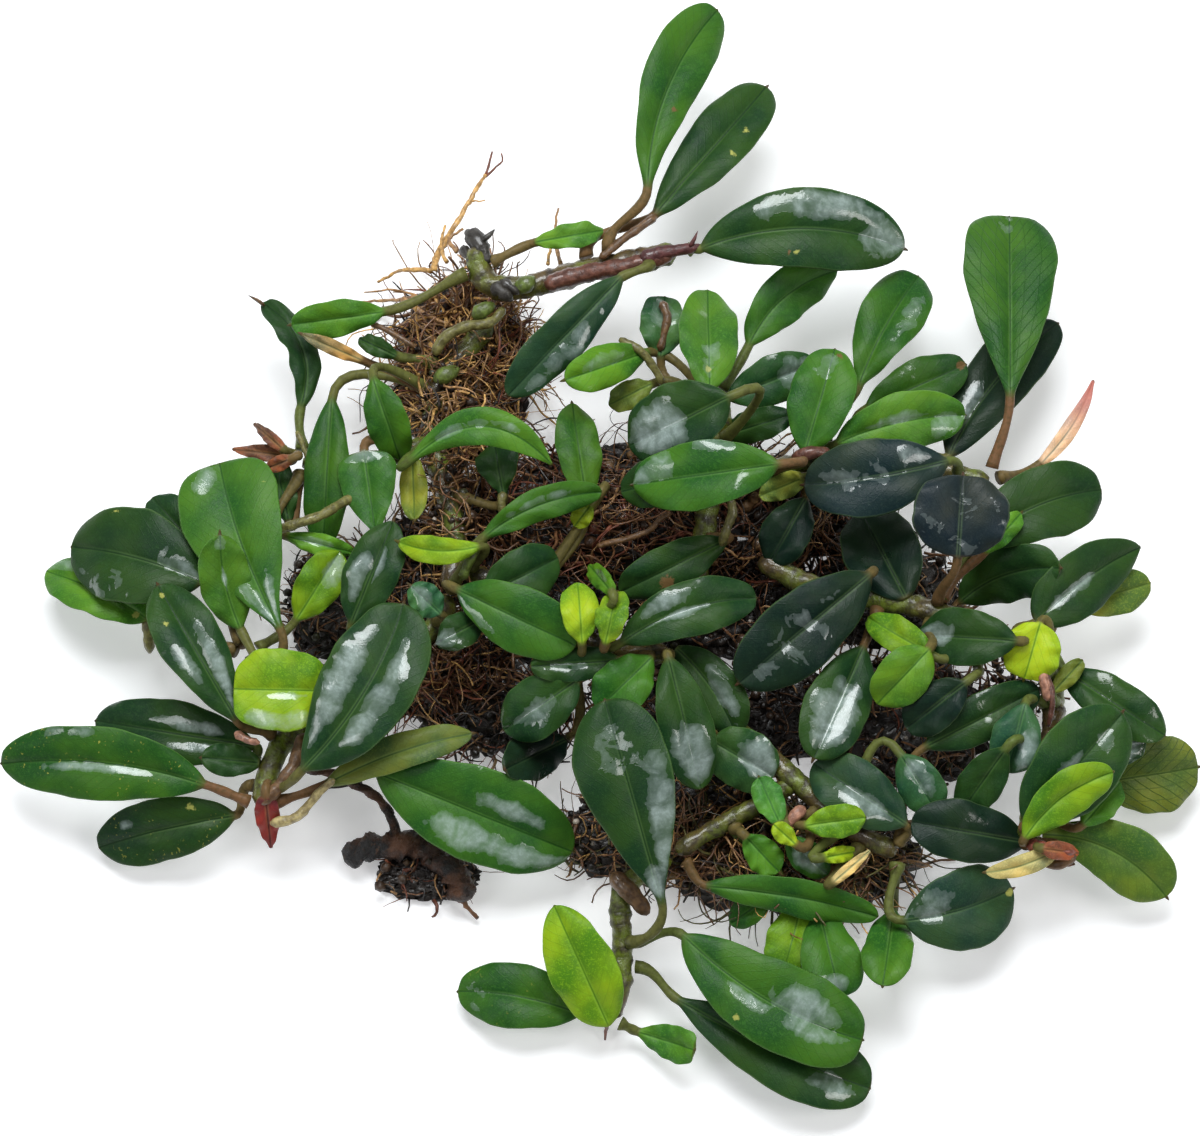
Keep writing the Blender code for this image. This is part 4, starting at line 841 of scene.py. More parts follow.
def fine_rings(leaf, spur, length, phase):
    """The fine leaf's rings from the stalk's foot to the spur's end: centres, side and face
    directions, half breadths, core radii, and places along it, which are below 0 on the stalk."""
    s = np.arange(FINE_STALK_RINGS if leaf.has_stalk else 0) / FINE_STALK_RINGS
    t = (1 - np.cos(math.pi * np.arange(FINE_BLADE_RINGS + 1) / FINE_BLADE_RINGS)) / 2
    stalk = leaf.stalk_stations(s)
    blade = leaf.stations(t)
    ahead = unit(blade[0][-1] - blade[0][-2])
    reach = np.array([part for part, _ in SPUR_RINGS]) * spur
    shrink = np.array([part for _, part in SPUR_RINGS]) * TIP_RADIUS
    centre = np.concatenate((stalk[0], blade[0], blade[0][-1] + ahead * reach[:, None]))
    side, face = (np.concatenate((stalk[i], blade[i], np.repeat(blade[i][-1:], len(reach), 0)))
                  for i in (1, 2))
    flare = 1 + 0.5 * (1 - smooth_step(0, 0.35, s)) + 0.1 * np.sin(9 * s + phase)
    half = np.concatenate((STALK_RADIUS * flare, blade[3], shrink))
    taper = STALK_RADIUS + (TIP_RADIUS - STALK_RADIUS) * t
    core = np.concatenate((STALK_RADIUS * flare, taper, shrink))
    along = np.concatenate((s - 1, t, 1 + reach / length))
    return centre, side, face, half, core, along


def leaf_object(leaf, number, material):
    """The fine leaf: a round stalk that widens into a thin, waved blade with midrib and spur."""
    rng = np.random.default_rng(1000 + number)
    look = leaf.look
    fold = rng.uniform(*FOLDS)
    droop = rng.uniform(*DROOPS)
    wave = look.get("wave", 1.0) * rng.uniform(*WAVE_HEIGHTS)
    phases = rng.uniform(0, 2 * math.pi, 6)
    spur = look.get("spur", rng.choice(SPUR_LENGTHS))
    length = np.linalg.norm(leaf.tip - leaf.base)
    stalk_length = max(0.1, np.linalg.norm(leaf.middle(0.0) - leaf.foot))
    centre, side, face, half, core, along = fine_rings(leaf, spur, length, phases[0])

    # Across each ring, x goes over the face from -1 to 1 and back along the underside.
    x_top = [-x for x in reversed(TOP_COLUMNS)] + [0.0] + list(TOP_COLUMNS)
    x_under = list(reversed(UNDER_COLUMNS)) + [0.0] + [-x for x in UNDER_COLUMNS]
    under = np.repeat((0.0, 1.0), (len(x_top), len(x_under)))
    T = along[:, None]
    X = np.array(x_top + x_under)[None, :]
    A = np.abs(X)
    H = half[:, None]
    sign = np.sign(X)

    flatness = smooth_step(0.0, 0.16, T) * (1 - smooth_step(0.97, 1.0, T))
    round_part = np.sqrt(np.maximum(0, 1 - A**2)) * core[:, None]
    thin = EDGE_THICKNESS + MIDDLE_THICKNESS * np.sqrt(np.maximum(0, 1 - A**2)) * (1 - 0.3 * T)
    thick = round_part * (1 - flatness) + thin * flatness
    groove = np.exp(-((X * H / GROOVE_WIDTH) ** 2)) * flatness * (1 - 0.7 * T)
    lift = np.where(under > 0.5, -thick - KEEL_DEPTH * groove, thick - GROOVE_DEPTH * groove)
    bowl = fold * H * (A * (1 + droop * 0.5) - droop * A**2 * 0.9)
    bowl = bowl * np.minimum(1, 4 * np.maximum(T, 0))
    ripple = wave * A**2.5 * flatness * np.sin(
        2 * math.pi * (rng.uniform(*WAVES) * T) + phases[1] + sign * phases[2])
    buckle = BUCKLE * flatness * (soft_noise(T * 1.1 + 0.25 * X, phases[3])
                                  + 0.5 * soft_noise(0.6 * X + T, phases[4]))
    pillow = np.minimum(0.1 * H, 0.42) * (4 * A * (1 - A) - 0.4) * flatness
    uneven = UNEVENNESS * flatness * soft_noise(T * 1.7 + 0.3 * sign, phases[5]) * (A > 0.5)
    points = (centre[:, None] + side[:, None] * (H * X * (1 + uneven))[..., None]
              + face[:, None] * (lift + bowl + pillow + ripple + buckle)[..., None])

    whole = np.ones(points.shape[:2])
    colour = np.array(TONES[leaf.tone]) * look.get("tint", (1, 1, 1)) * rng.uniform(*BRIGHTNESS)
    shade = np.tile((*colour, 1.0), (whole.size, 1))
    run = np.where(T < 0, T * stalk_length, T * length)
    flat = np.stack((whole * X * H, whole * run, whole * number * 7.3), axis=-1)
    marks = {"sheen": 0 * whole, "yellow": 0 * whole, "brown": 0 * whole}
    # The sheen places: where a reflection of light is painted on the blade's face.
    for at, across, half_long, half_wide, strength in look.get("sheen", ()):
        away = ((T - at) / half_long) ** 2 + ((X - across) / half_wide) ** 2
        patch = strength * np.clip(1.25 - away, 0, 1) * (1 - under)
        marks["sheen"] = np.maximum(marks["sheen"], patch)
    for at, across, radius, kind in look.get("marks", ()):
        away = np.hypot((T - at) * length, (X - across) * H) / (MARK_SIZE * radius)
        patch = np.exp(-(away**2)) * (1 - under * 0.5)
        marks[kind] = np.maximum(marks[kind], patch)
    fields = {
        "across": X, "along": T, "under": under,
        "wet": look.get("wet", WET.get(leaf.tone, OTHER_WET)), "sheen": marks["sheen"],
        "blush": look.get("blush", 0.0), "spots": look.get("spots", 0.0),
        "veins": look.get("veins", VEINS), "yellow": marks["yellow"], "brown": marks["brown"],
        "stalk": look.get("stalk", rng.uniform(0, 1)),
    }
    attributes = [("tone", "FLOAT_COLOR", shade), ("flat", "FLOAT_VECTOR", flat)]
    attributes += [(name, "FLOAT", whole * field) for name, field in fields.items()]
    faces = ring_faces(*points.shape[:2])
    return new_object(leaf.name + "_fine", points.reshape(-1, 3), faces, material, attributes)


def tube(points, radii, sides):
    """Rings of a round tube along the points, in frames that don't twist."""
    points = np.asarray(points, float)
    ways = unit(np.gradient(points, axis=0))
    start = np.cross(ways[0], (0.3, 0.2, 1.0))
    side = unit(start)
    turn = np.linspace(0, 2 * math.pi, sides, endpoint=False)
    rings = []
    for point, way, radius in zip(points, ways, radii):
        side = unit(side - way * (side @ way))
        other = np.cross(way, side)
        ring = np.cos(turn)[:, None] * side + np.sin(turn)[:, None] * other
        rings.append(point + radius * ring)
    return np.concatenate(rings)


class Bundle:
    """Many tubes and lofts gathered into one mesh, with their colours."""

    def __init__(self):
        self.points = []
        self.faces = []
        self.tones = []
        self.count = 0

    def add_rings(self, points, sides, tone):
        self.faces.extend(ring_faces(len(points) // sides, sides, self.count))
        self.points.append(points)
        self.tones.append(np.tile((*tone, 1.0), (len(points), 1)))
        self.count += len(points)

    def add_tube(self, points, radii, sides, tone):
        self.add_rings(tube(points, radii, sides), sides, tone)

    def make(self, name, material):
        return new_object(name, np.concatenate(self.points), self.faces, material,
                          (("tone", "FLOAT_COLOR", np.concatenate(self.tones)),))


# The fine rhizomes.
FINE_STEP = 0.35
RHIZOME_SIDES = 18
NODE_SPACING = 2.9
NODE_SWELLING = 0.13  # as a share of the radius, like the roughness
ROUGHNESS, DEAD_ROUGHNESS = 0.14, 0.5
ABOVE_FLOOR = 0.05


def rhizome_piece(name, material, rng):
    """A rhizome with swollen nodes and ragged scars, and its side shoots."""
    radius, run, shoots = RHIZOMES[name]
    all_points = []
    all_faces = []
    scars = []
    count = 0
    dead = name == "dead_rhizome"
    for part_radius, part_run in ((radius, run), *shoots):
        points = np.array(smooth_run(part_run, FINE_STEP))
        steps = np.linalg.norm(np.diff(points, axis=0), axis=1)
        place = np.concatenate(((0.0,), np.cumsum(steps)))
        knots = np.cumsum(NODE_SPACING * rng.uniform(0.5, 1.5, int(place[-1] / NODE_SPACING) + 2))
        turn = np.arange(RHIZOME_SIDES)
        angle = turn * 2 * math.pi / RHIZOME_SIDES
        near_node = np.zeros((len(points), RHIZOME_SIDES))
        for knot in knots:
            slanted = knot + rng.uniform(0.2, 0.8) * np.sin(angle + rng.uniform(0, 6))
            width = rng.uniform(0.25, 0.5)
            ridge = np.exp(-(((place[:, None] - slanted[None, :]) / width) ** 2))
            near_node = np.maximum(near_node, ridge * rng.uniform(0.5, 1.0))
        lump = 0.07 * soft_noise(place / 9, rng.uniform(0, 6))
        ends = np.minimum(1, np.minimum(place + 0.25, place[-1] - place + 0.25) / 1.2)
        radii = part_radius * (0.93 + lump) * np.sqrt(ends)
        rings = tube(points, radii, RHIZOME_SIDES).reshape(len(points), RHIZOME_SIDES, 3)
        jitter = sum(
            np.sin(turn[None, :] * k * 2 * math.pi / RHIZOME_SIDES + place[:, None] * w + p)
            for k, w, p in zip((1, 2, 3, 5), (1.1, 2.3, 3.1, 4.7), rng.uniform(0, 6, 4))) / 4
        out = rings - points[:, None]
        uneven = (DEAD_ROUGHNESS if dead else ROUGHNESS) * jitter + NODE_SWELLING * near_node
        rings = points[:, None] + out * (1 + uneven)[..., None]
        all_points.append(rings.reshape(-1, 3))
        all_faces.extend(ring_faces(len(points), RHIZOME_SIDES, count))
        scars.append(near_node.ravel())
        count += len(points) * RHIZOME_SIDES
    points = np.concatenate(all_points)
    points[:, 2] = np.maximum(points[:, 2], ABOVE_FLOOR)
    thing = new_object(name + "_fine", points, all_faces, material,
                       (("scar", "FLOAT", np.concatenate(scars)),))
    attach(thing, "root")
    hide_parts(name)


FIBRE_TONES = {
    "gold": (0.60, 0.36, 0.12),
    "tan": (0.40, 0.23, 0.10),
    "brown": (0.17, 0.08, 0.035),
    "red": (0.17, 0.05, 0.025),
    "black": (0.018, 0.012, 0.009),
    "moss": (0.085, 0.08, 0.022),
}
# Each mat: how many fibres, how high they climb, how many lumps of soil, and the fibres' colours
# with their shares.
FIBRES = {
    "root_mass_upper": (900, 12.0, 420, {"gold": 4, "tan": 4, "brown": 5, "red": 2, "black": 1}),
    "root_mass_middle": (1000, 9.5, 380, {"tan": 2, "brown": 5, "red": 2, "black": 3}),
    "root_mass_west": (420, 9.5, 200, {"gold": 1, "tan": 1, "brown": 4, "red": 2, "black": 2}),
    "root_mass_south": (700, 9.5, 300, {"gold": 1, "tan": 2, "brown": 5, "moss": 3, "black": 1}),
}
FIBRE_STEP = 0.9
FIBRE_TURN = 0.42  # how much its way changes from step to step
LONGEST = 13  # steps
FIBRE_RADII = (0.09, 0.13, 0.18, 0.26)
RADIUS_SHARES = (0.25, 0.35, 0.27, 0.13)
FIBRE_SIDES = 4
LOWEST = 0.25  # that a fibre comes

# Loose tangles between the rhizomes: middle, half length and half breadth, the heights they lie
# between in mm, how many fibres, how many steps long at most, how many dark lumps, and the
# colours of the fibres with their shares. Their near-black mounds and dark lumps are partly soil
# and partly painted shade for the deep gaps among the leaves.
TANGLES = (
    ((478, 535), 6, 9, (0.6, 9), 260, 12, 60, {"gold": 1, "tan": 2, "brown": 4, "black": 2}),
    ((492, 690), 11, 8, (0.6, 9), 380, 11, 90, {"tan": 1, "brown": 4, "red": 2, "black": 4}),
    ((630, 830), 9, 6, (0.4, 8), 240, 9, 90, {"gold": 1, "tan": 2, "brown": 4, "moss": 2}),
    ((560, 600), 9, 5, (0.6, 10), 160, 9, 40, {"brown": 3, "black": 4, "red": 1}),
    ((880, 590), 11, 7, (0.6, 10), 200, 9, 60, {"brown": 3, "black": 4, "tan": 1}),
    ((905, 715), 12, 9, (0.6, 9), 260, 9, 90, {"brown": 4, "black": 3, "tan": 1, "red": 1}),
    ((770, 705), 9, 7, (0.6, 8), 140, 8, 60, {"brown": 4, "black": 4, "tan": 1}),
    ((695, 600), 9, 8, (0.6, 8), 130, 8, 50, {"brown": 4, "black": 4, "tan": 1}),
    ((775, 600), 6, 6, (0.6, 8), 80, 8, 30, {"brown": 4, "black": 4, "tan": 1}),
    ((345, 600), 8, 8, (0.6, 8), 180, 9, 60, {"tan": 2, "brown": 4, "black": 2}),
    ((405, 560), 5, 7, (0.6, 8), 120, 9, 40, {"tan": 2, "brown": 4, "black": 2}),
    ((446, 410), 3.2, 9, (8, 15), 240, 8, 40, {"gold": 3, "tan": 3, "brown": 4, "black": 1}),
    ((455, 520), 3, 7, (7, 14), 130, 8, 40, {"gold": 2, "tan": 3, "brown": 4, "black": 1}),
    ((650, 690), 8, 7, (0.6, 7), 90, 8, 40, {"brown": 4, "black": 4, "tan": 1}),
    ((710, 782), 8, 5, (0.6, 7), 90, 8, 40, {"gold": 1, "tan": 2, "brown": 4, "moss": 2}),
    ((428, 872), 7, 3.5, (0.3, 4), 90, 5, 10, {"brown": 4, "red": 4, "tan": 2, "black": 1}),
    ((1010, 690), 4, 6, (3, 10), 90, 7, 30, {"red": 3, "tan": 2, "brown": 2}),
)
MOUND_HEIGHT = 0.42  # of the near-black mound under a tangle, partly soil and partly painted shade, as a share of the tangle's height
MOUND_RINGS, MOUND_SIDES = 24, 72
# Dark lumps among the tangles: partly soil, partly painted shade.
LUMP_TONES = ((0.012, 0.008, 0.006), (0.03, 0.017, 0.01), (0.055, 0.03, 0.016),
              (0.03, 0.032, 0.01))
CRUMB_TONES = ((0.035, 0.02, 0.012), (0.10, 0.06, 0.03), (0.02, 0.015, 0.01),
               (0.5, 0.46, 0.42))
TONE_SHARES = (0.4, 0.3, 0.2, 0.1)
CRUMBS = 11  # grains of soil and grit in each tangle
CRUMB_SIDES = 6
CRUMB_SIZES = (0.16, 0.5)
LUMP_SIZES = (0.25, 0.75)
CRUMB_FORM = ((-0.9, 0.35), (-0.6, 0.8), (0.0, 1.0), (0.55, 0.75), (0.85, 0.3))  # place, radius


def in_oval(rng, middle, half_length, half_breadth, reach=1.0):
    """A random place in an oval, and how far out it is, from 0 to the reach."""
    angle = rng.uniform(0, 2 * math.pi)
    far = math.sqrt(rng.uniform(0, 1)) * reach
    return (middle[0] + math.cos(angle) * half_length * far,
            middle[1] + math.sin(angle) * half_breadth * far, far)


def wander(rng, start, way, steps, high):
    """A fibre's random walk from a start, kept between the lowest place and a height."""
    points = [np.array(start, float)]
    way = unit(np.array(way, float))
    drift = rng.normal(0, 1, 3)
    for _ in range(steps):
        drift = 0.75 * drift + 0.5 * rng.normal(0, 1, 3)
        way = unit(way + drift * FIBRE_TURN)
        point = points[-1] + way * FIBRE_STEP
        if not LOWEST < point[2] < high:
            way[2] = -way[2] * 0.5
            point[2] = min(max(point[2], LOWEST), high)
        points.append(point)
    return points


def fibre_tone(rng, shares):
    tones = list(shares)
    weights = np.array([shares[tone] for tone in tones], float)
    return np.array(FIBRE_TONES[tones[rng.choice(len(tones), p=weights / weights.sum())]])


def add_fibre(bundle, rng, base, shares, high, longest=LONGEST):
    """One root fibre that wanders off from its base."""
    heading = rng.uniform(0, 2 * math.pi)
    way = (math.cos(heading), math.sin(heading), rng.uniform(-0.2, 0.6))
    points = wander(rng, base, way, int(rng.integers(longest // 2 - 1, longest)), high)
    radius = rng.choice(FIBRE_RADII, p=RADIUS_SHARES) * rng.uniform(0.8, 1.2)
    radii = np.linspace(radius, radius * 0.5, len(points)) * rng.uniform(0.8, 1.2, len(points))
    tone = fibre_tone(rng, shares) * rng.uniform(0.6, 1.35)
    bundle.add_tube(points, radii, FIBRE_SIDES, tone)


def add_crumb(bundle, rng, at, size, tones):
    """A small uneven grain: a short, thick tube with rounded ends."""
    way = unit(rng.normal(0, 1, 3))
    points = [np.array(at) + way * size * place for place, _ in CRUMB_FORM]
    radii = size * np.array([radius for _, radius in CRUMB_FORM]) * rng.uniform(0.75, 1.25, 5)
    tone = np.array(tones[rng.choice(len(tones), p=TONE_SHARES)])
    bundle.add_tube(points, radii, CRUMB_SIDES, tone * rng.uniform(0.7, 1.3))


def add_mound(bundle, rng, middle, half_length, half_breadth, height, shoulder):
    """The rough upper side of a heap of fine roots and soil, in rings from the rim up."""
    turn = np.linspace(0, 2 * math.pi, MOUND_SIDES, endpoint=False)
    rings = []
    for i in range(MOUND_RINGS):
        rise = math.sin(math.pi / 2 * i / MOUND_RINGS)
        reach = math.sqrt(1 - rise**2)
        rough = 1 + 0.09 * np.sin(turn * 5 + i * 1.3) + 0.07 * np.sin(turn * 11 - i * 2.1)
        rough = rough + rng.uniform(-0.05, 0.05, MOUND_SIDES)
        x = middle[0] + np.cos(turn) * half_length * reach * rough * 0.93
        y = middle[1] + np.sin(turn) * half_breadth * reach * rough * 0.93
        z = rise**shoulder * height * 0.9 + rng.uniform(-0.25, 0.25, MOUND_SIDES)
        rings.append(np.stack((x, y, np.maximum(z, ABOVE_FLOOR)), axis=1))
    bundle.add_rings(np.concatenate(rings), MOUND_SIDES, FIBRE_TONES["black"])


def tangles(material, rng):
    """Loose fibres that fill the room between the rhizomes, with dark mounds and lumps under and
    among them that are partly soil and partly painted shade.
    """
    for number, row in enumerate(TANGLES):
        (across, down), half_length, half_breadth, (low, high), count, longest, lumps, shares = row
        bundle = Bundle()
        middle = spot((across, down, (low + high) / 2))
        oval = (middle, half_length, half_breadth)
        # Under a low tangle lies a near-black mound: partly soil, partly painted shade among the
        # leaves.
        if low < 1:
            dark_mound_height = (high - low) * MOUND_HEIGHT
            add_mound(bundle, rng, middle, half_length * 0.92, half_breadth * 0.92, dark_mound_height, 0.5)
        for _ in range(count):
            x, y, far = in_oval(rng, *oval)
            z = low + (high - low) * rng.uniform(0, 1) ** 1.3 * (1 - 0.6 * far)
            add_fibre(bundle, rng, (x, y, z), shares, high, longest)
        # Grains of soil and grit, then dark lumps that partly stand in for shade as painted shade.
        for grains, highest, sizes, tones in ((CRUMBS, 0.9, CRUMB_SIZES, CRUMB_TONES),
                                              (lumps, 0.6, LUMP_SIZES, LUMP_TONES)):
            for _ in range(grains):
                x, y, far = in_oval(rng, *oval)
                rise = (high - low) * rng.uniform(0.0, highest) * (1 - 0.6 * far)
                add_crumb(bundle, rng, (x, y, low + 1.2 + rise), rng.uniform(*sizes), tones)
        thing = bundle.make(f"root_tangle_{number + 1}", material)
        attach(thing, "root")


def root_mat(name, material, rng):
    """A dark tangled core under a few hundred root fibres."""
    (across, down), half_length, half_breadth, height = ROOT_MASSES[name]
    number, climb, lumps, shares = FIBRES[name]
    oval = (spot((across, down, 0)), half_length, half_breadth)
    bundle = Bundle()
    add_mound(bundle, rng, *oval, height, ROOT_SHOULDER)
    for _ in range(number):
        x, y, far = in_oval(rng, *oval, 0.95)
        z = height * (1 - far**2) ** 0.5 * 0.9 + rng.uniform(0.1, 1.0)
        add_fibre(bundle, rng, (x, y, z), shares, climb)
    for _ in range(lumps):
        x, y, far = in_oval(rng, *oval, 0.98)
        z = max(1.3, height * (1 - far**2) ** 0.5 * 0.95 + rng.uniform(-0.6, 0.6))
        tone = fibre_tone(rng, shares) * 0.5
        tones = (tone, tone * 0.6, tone * 0.35, tone * 1.5)
        add_crumb(bundle, rng, (x, y, z), rng.uniform(0.3, 1.0), tones)
    thing = bundle.make(name + "_fine", material)
    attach(thing, "root")
    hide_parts(name)


# Roots that stand clear of the mats: radius at the start in mm, tone, run.
LOOSE_ROOTS = (
    (0.5, "gold", ((432, 268, 9), (436, 250, 8), (452, 222, 7), (473, 191, 6), (484, 170, 5))),
    (0.22, "red", ((484, 170, 5), (489, 158, 5), (491, 146, 5))),
    (0.2, "red", ((484, 172, 5), (494, 162, 5), (501, 156, 5), (500, 148, 5))),
    (0.16, "gold", ((468, 197, 6), (478, 198, 6), (484, 196, 6))),
    (0.34, "gold", ((430, 268, 8), (405, 266, 6), (393, 270, 4), (375, 279, 3))),
    (0.34, "tan", ((436, 292, 8), (410, 295, 6), (385, 298, 3), (358, 299, 2))),
    (0.3, "tan", ((560, 262, 11), (556, 235, 9), (558, 205, 7))),
    (0.24, "gold", ((548, 262, 11), (552, 240, 9), (561, 222, 8))),
    (0.3, "red", ((608, 1020, 3.4), (606, 1030, 1.5), (605, 1038, 0.6))),
    (0.28, "gold", ((446, 260, 10), (440, 240, 9), (444, 222, 8))),
    (0.3, "tan", ((455, 250, 10), (448, 238, 9), (462, 226, 9))),
    (0.3, "black", ((322, 790, 7), (338, 786, 6), (362, 782, 5))),
    (0.45, "brown", ((462, 897, 2.4), (470, 908, 1.4), (478, 918, 0.8))),
    (0.4, "tan", ((402, 296, 7), (425, 312, 8), (448, 322, 8))),
)


LOOSE_STEP = 0.5
LOOSE_ROOT_SIDES = 8
STEM_SIDES = 12


def loose_roots(material, rng):
    bundle = Bundle()
    for radius, tone, run in LOOSE_ROOTS:
        points = np.array(smooth_run(run, LOOSE_STEP))
        wobble = np.cumsum(rng.normal(0, 0.07, points.shape), axis=0)
        wobble = wobble - np.linspace(0, 1, len(points))[:, None] * wobble[-1]
        radii = np.linspace(radius, radius * 0.5, len(points)) * rng.uniform(0.8, 1.2, len(points))
        points = points + wobble
        points[:, 2] = np.maximum(points[:, 2], radius)
        bundle.add_tube(points, radii, LOOSE_ROOT_SIDES, FIBRE_TONES[tone])
    thing = bundle.make("loose_roots", material)
    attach(thing, "root")


STEM_TONES = {
    "olive": (0.16, 0.155, 0.045),
    "green": (0.10, 0.15, 0.025),
    "brown": (0.14, 0.075, 0.03),
    "sheath": (0.13, 0.048, 0.032),
    "purple": (0.085, 0.022, 0.022),
    "cream": (0.42, 0.36, 0.17),
    "red": (0.26, 0.07, 0.045),
    "grey": (0.035, 0.032, 0.028),
    "pink": (0.40, 0.20, 0.14),
}
# Old stalks, sheaths and bare bits of stem: radius at the start and the end, tone, run.
STEMS = (
    (0.75, 0.6, "olive",
     ((434, 354, 12), (444, 336, 13), (465, 326, 13.5), (489, 322, 13), (504, 307, 12.5))),
    (0.8, 0.6, "olive", ((147, 618, 8), (148, 636, 7), (149, 653, 5.5))),
    (1.2, 0.9, "grey", ((466, 230, 12), (478, 242, 13), (488, 262, 13))),
    (0.7, 0.4, "grey", ((462, 246, 12), (470, 258, 13), (480, 268, 13))),
    (0.5, 0.2, "grey", ((478, 240, 13.5), (488, 234, 14), (494, 228, 14))),
    (1.1, 0.7, "grey", ((492, 284, 14), (503, 292, 14.5), (512, 300, 14))),
    (0.7, 0.5, "grey", ((500, 280, 14.2), (512, 288, 14.8), (519, 292, 14))),
    (1.2, 0.8, "green", ((472, 316, 12.5), (484, 308, 13), (494, 303, 13))),
    (1.3, 0.9, "green", ((514, 290, 14), (526, 283, 14.5), (534, 276, 14.5))),
    (1.2, 1.0, "sheath", ((545, 284, 14), (590, 272, 14.5), (640, 262, 15.2), (676, 252, 15.8))),
    (1.2, 0.5, "purple", ((640, 258, 15.5), (672, 250, 16), (703, 245, 16))),
    (0.35, 0.08, "purple", ((690, 246, 16.5), (695, 238, 17), (698, 230, 17))),
    (0.55, 0.5, "brown", ((656, 214, 13.5), (640, 226, 14), (618, 242, 14.5), (600, 257, 15))),
    (1.2, 0.9, "green", ((434, 380, 12), (446, 374, 12.5), (458, 368, 12))),
    (0.65, 0.6, "olive", ((258, 538, 12), (286, 526, 15), (318, 514, 15.5), (358, 494, 13))),
    (0.4, 0.3, "brown", ((369, 322, 12), (392, 332, 12), (414, 346, 12))),
    (0.4, 0.3, "olive", ((296, 431, 11), (303, 446, 11), (308, 459, 11.5))),
    (0.3, 0.1, "brown", ((262, 304, 9), (255, 298, 9.5), (250, 295, 9.5))),
    (0.95, 0.8, "brown", ((306, 733, 12), (296, 765, 12), (278, 790, 11.5), (263, 803, 11))),
    (0.7, 0.45, "cream", ((272, 822, 9), (300, 815, 10), (322, 790, 11.5), (336, 778, 12.5))),
    (0.7, 0.55, "pink", ((1046, 700, 14), (1042, 680, 15), (1038, 662, 15.5))),
    (0.9, 0.7, "sheath", ((792, 458, 17.5), (812, 453, 18), (830, 452, 17.5))),
    (1.1, 0.4, "pink", ((803, 806, 13), (793, 814, 13.5), (784, 827, 13))),
    (1.3, 1.0, "brown", ((612, 872, 9.5), (630, 890, 9.5), (648, 912, 9))),
    (1.0, 0.6, "red", ((1023, 842, 12), (1048, 848, 12.5), (1072, 850, 12))),
    (0.7, 0.5, "brown", ((1072, 852, 11.5), (1058, 862, 11), (1040, 862, 10.5))),
    (0.6, 0.4, "pink", ((238, 732, 13.5), (250, 738, 14), (262, 742, 14))),
    (0.6, 0.55, "olive", ((730, 498, 16), (731, 514, 15.5), (725, 531, 15), (721, 546, 14))),
    (0.4, 0.35, "brown",
     ((597, 546, 11), (631, 537, 12.5), (650, 530, 13), (660, 519, 13.5), (671, 513, 13.5))),
    (0.6, 0.5, "olive", ((503, 491, 13), (502, 502, 13), (501, 514, 12.5))),
    (0.65, 0.6, "green", ((486, 536, 15), (472, 556, 14.5), (462, 580, 13))),
    (0.6, 0.5, "brown", ((662, 300, 11), (668, 318, 11), (660, 350, 10.5))),
    (0.55, 0.5, "olive", ((619, 338, 13), (640, 350, 13), (655, 368, 12), (663, 384, 11))),
    (0.45, 0.3, "sheath",
     ((1030, 660, 15.5), (1044, 676, 15), (1050, 700, 14.5), (1046, 726, 13))),
)


def stems(material, rng):
    bundle = Bundle()
    for first, last, tone, run in STEMS:
        points = np.array(smooth_run(run, LOOSE_STEP))
        wobble = np.cumsum(rng.normal(0, 0.03, points.shape), axis=0)
        place = np.linspace(0, 1, len(points))
        points = points + wobble - place[:, None] * wobble[-1]
        radii = first + (last - first) * place
        ends = np.minimum(place, 1 - place) * (len(points) - 1) * 0.5
        radii = radii * np.sqrt(np.minimum(1, (ends + 0.12) / first))
        radii = radii * (1 + 0.12 * soft_noise(place * len(points) / 6, rng.uniform(0, 6)))
        if tone == "grey":
            radii = radii * rng.uniform(0.7, 1.25, len(points))
        bundle.add_tube(points, radii, STEM_SIDES, STEM_TONES[tone])
    thing = bundle.make("old_stems", material)
    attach(thing, "root")


